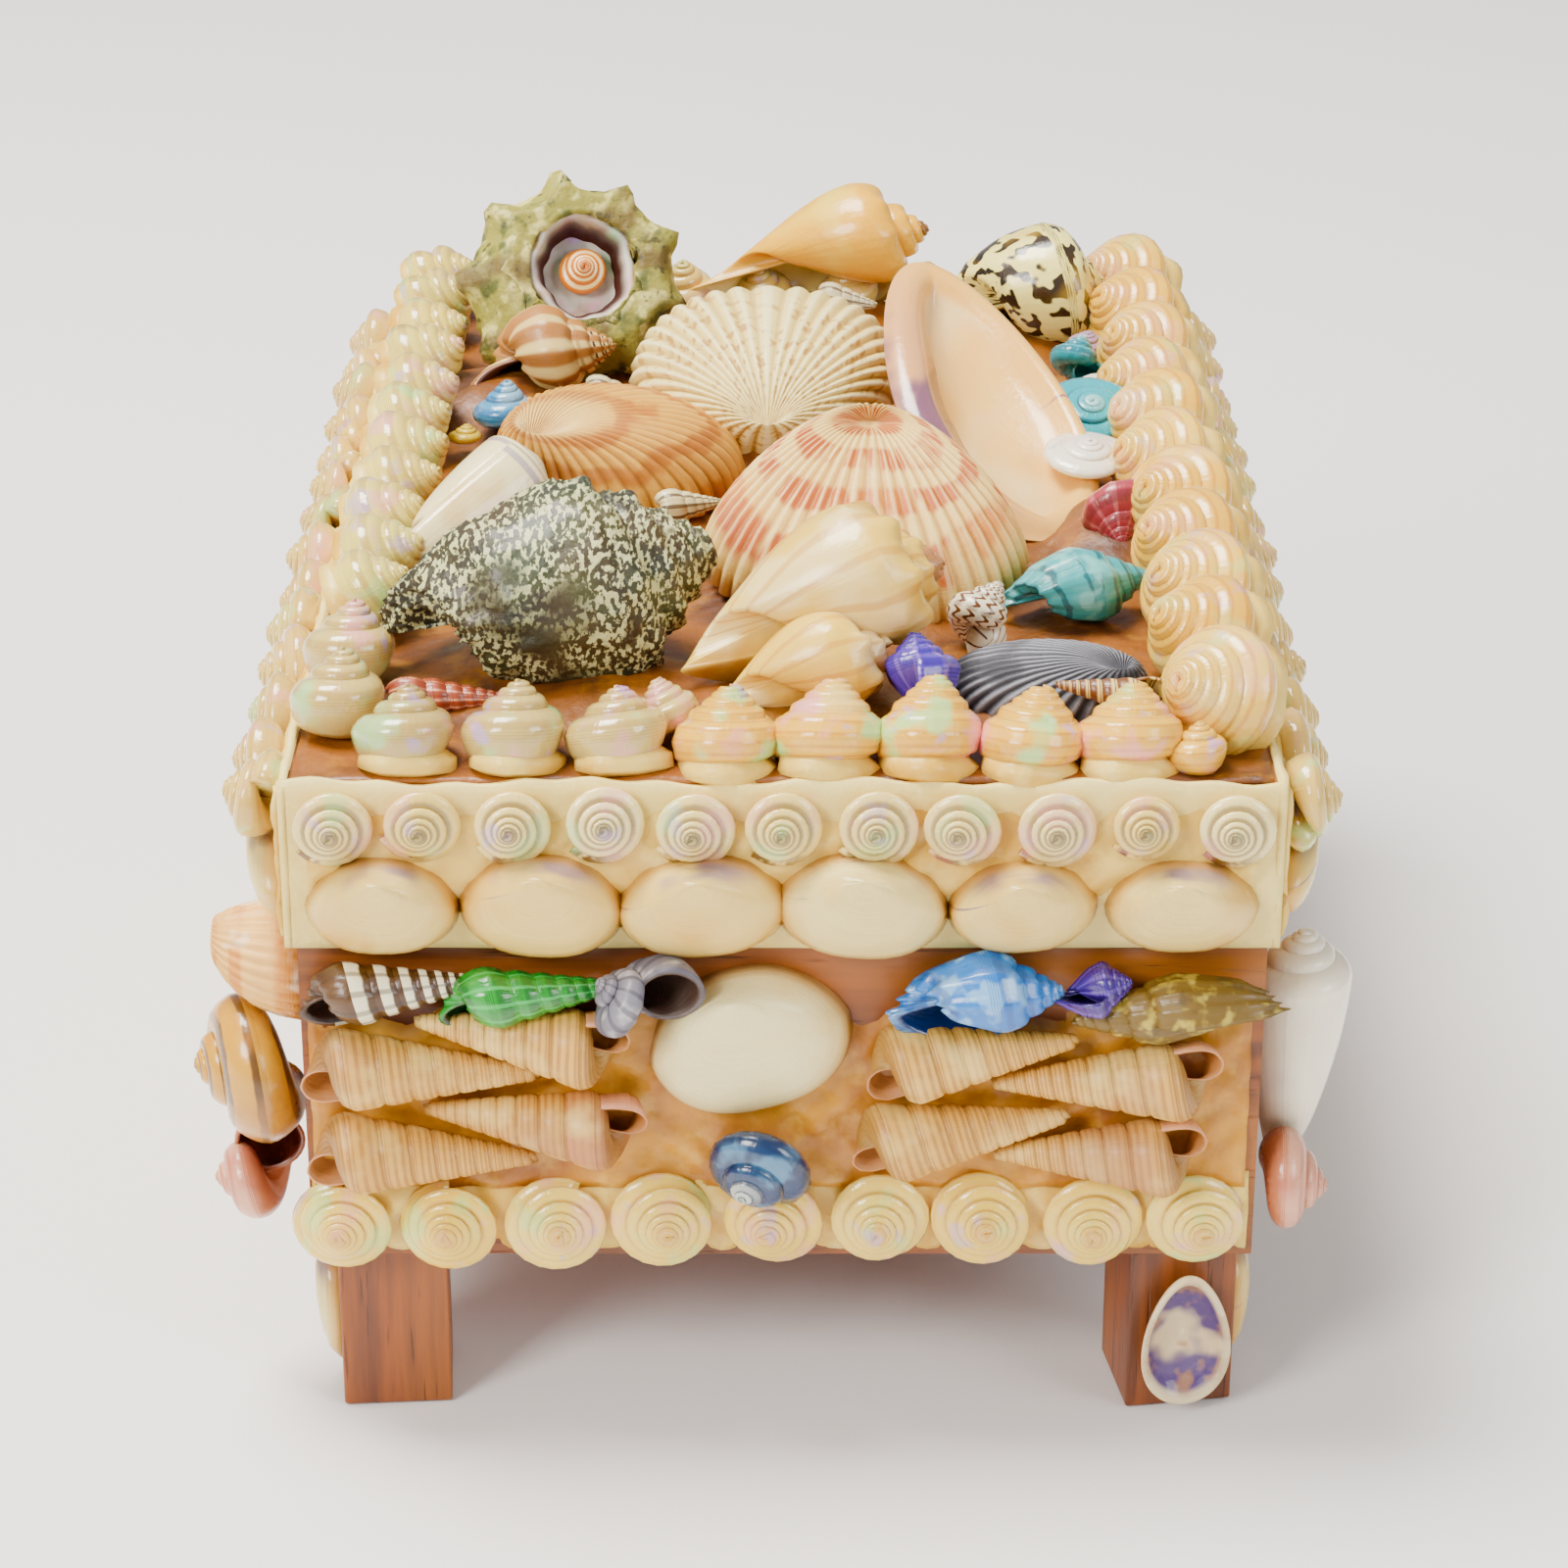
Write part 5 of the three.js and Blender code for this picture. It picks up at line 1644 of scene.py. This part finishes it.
# Tiny shells that fill gaps
tinyYellow = [
    stuck(coilShell(2.4, 3.4, 4, 1.6, steps=18, sides=12), at, (0.1, 0.1, 1), anyTurn())
    for at in ((-41.1, 18.5, 82.2), (46.6, -57.5, 85.2))
]
yellowLook = {"base": "e2c04a", "other": "c9b04c", "roughness": 0.3, "coat": 0.4, "shadow": "8f6f22"}
show("tinyYellow", tinyYellow, shellFinish("tinyYellow", yellowLook))
tinyPearl = coilShell(
    4.4, 8.2, 4.8, 1.5, steps=26, sides=32, cords=9, cordSize=0.03, tuck=0.15, mouth=False, overlap=1.1
)
show(
    "tinyPearl", stuck(tinyPearl, spot(-0.21, -0.855, 0.2), (-0.35, 0.25, 1), (0, 1, 0)),
    finishOf("greyPearl", greyPearlLook),
)
lilacLook = {"base": "b8a2b8", "roughness": 0.3, "coat": 0.4}
show(
    "tinyLilac", stuck(coilShell(3.0, 4.4, 4, 1.6), (41.2, 48.5, 84.0), (0.1, -0.2, 1), right),
    shellFinish("tinyLilac", lilacLook),
)
stripedTinyLook = {
    "base": "dccfb0",
    "other": "c9bda4",
    "roughness": 0.35,
    "coat": 0.3,
    "layers": [("7a6a58", turnBands(9, 0.6, 0.85))],
}
tinyStripedSpots = (
    ((-25.5, 21.5, 89.0), (1, -0.15, -0.1)), ((-15.5, -14.5, 86.6), (1, 0.25, 0.0)),
    ((5, 61, 88.5), (1, -0.2, -0.1)),
)
tinyStriped = []
for at, axis in tinyStripedSpots:
    shell = coilShell(2.1, 9.5, 6, 1.3, ribs=10, ribSize=0.1, steps=40, sides=14, mouth=False)
    tinyStriped.append(stuck(shell, at, axis, out))
show("tinyStriped", tinyStriped, shellFinish("tinyStriped", stripedTinyLook))
print("tiny shells", flush=True)

# Floor and light
floorMesh = bpy.data.meshes.new("floor")
floorMesh.from_pydata(
    [(-4, -3, -0.0002), (4, -3, -0.0002), (4, 6, -0.0002), (-4, 6, -0.0002)], [], [(0, 1, 2, 3)]
)
floorPaint = Paint("floor")
floorMesh.materials.append(
    floorPaint.finish(floorPaint.mix(floorPaint.noise(3, 2.0), "f4f2f1", "f1efef"), 0.7)
)
floor = bpy.data.objects.new("floor", floorMesh)
bpy.context.scene.collection.objects.link(floor)


def areaLight(name, place, target, size, power, tone=(1, 1, 1)):
    data = bpy.data.lights.new(name, "AREA")
    data.shape, data.size, data.energy, data.color = "SQUARE", size, power, tone
    lamp = bpy.data.objects.new(name, data)
    lamp.location = place
    away = np.array(place) - np.array(target)
    lamp.rotation_euler = (
        math.atan2(math.hypot(away[0], away[1]), away[2]), 0, math.atan2(away[0], -away[1])
    )
    bpy.context.scene.collection.objects.link(lamp)


areaLight("above", (-0.35, 0.1, 1.1), (0, 0, 0.05), 0.5, 33, (1, 0.95, 0.87))
areaLight("frontLeft", (-0.7, -0.8, 0.7), (0, 0, 0.05), 0.4, 15, (1, 0.95, 0.88))
areaLight("frontRight", (0.9, -0.7, 0.6), (0, 0, 0.05), 0.5, 7)
world = bpy.data.worlds.new("studio")
world.use_nodes = True
world.node_tree.nodes["Background"].inputs["Color"].default_value = (0.93, 0.95, 1, 1)
world.node_tree.nodes["Background"].inputs["Strength"].default_value = 0.52
bpy.context.scene.world = world

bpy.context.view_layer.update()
triangles = sum(sum(len(p.vertices) - 2 for p in o.data.polygons) for o in made.values())
print("triangles", triangles, flush=True)
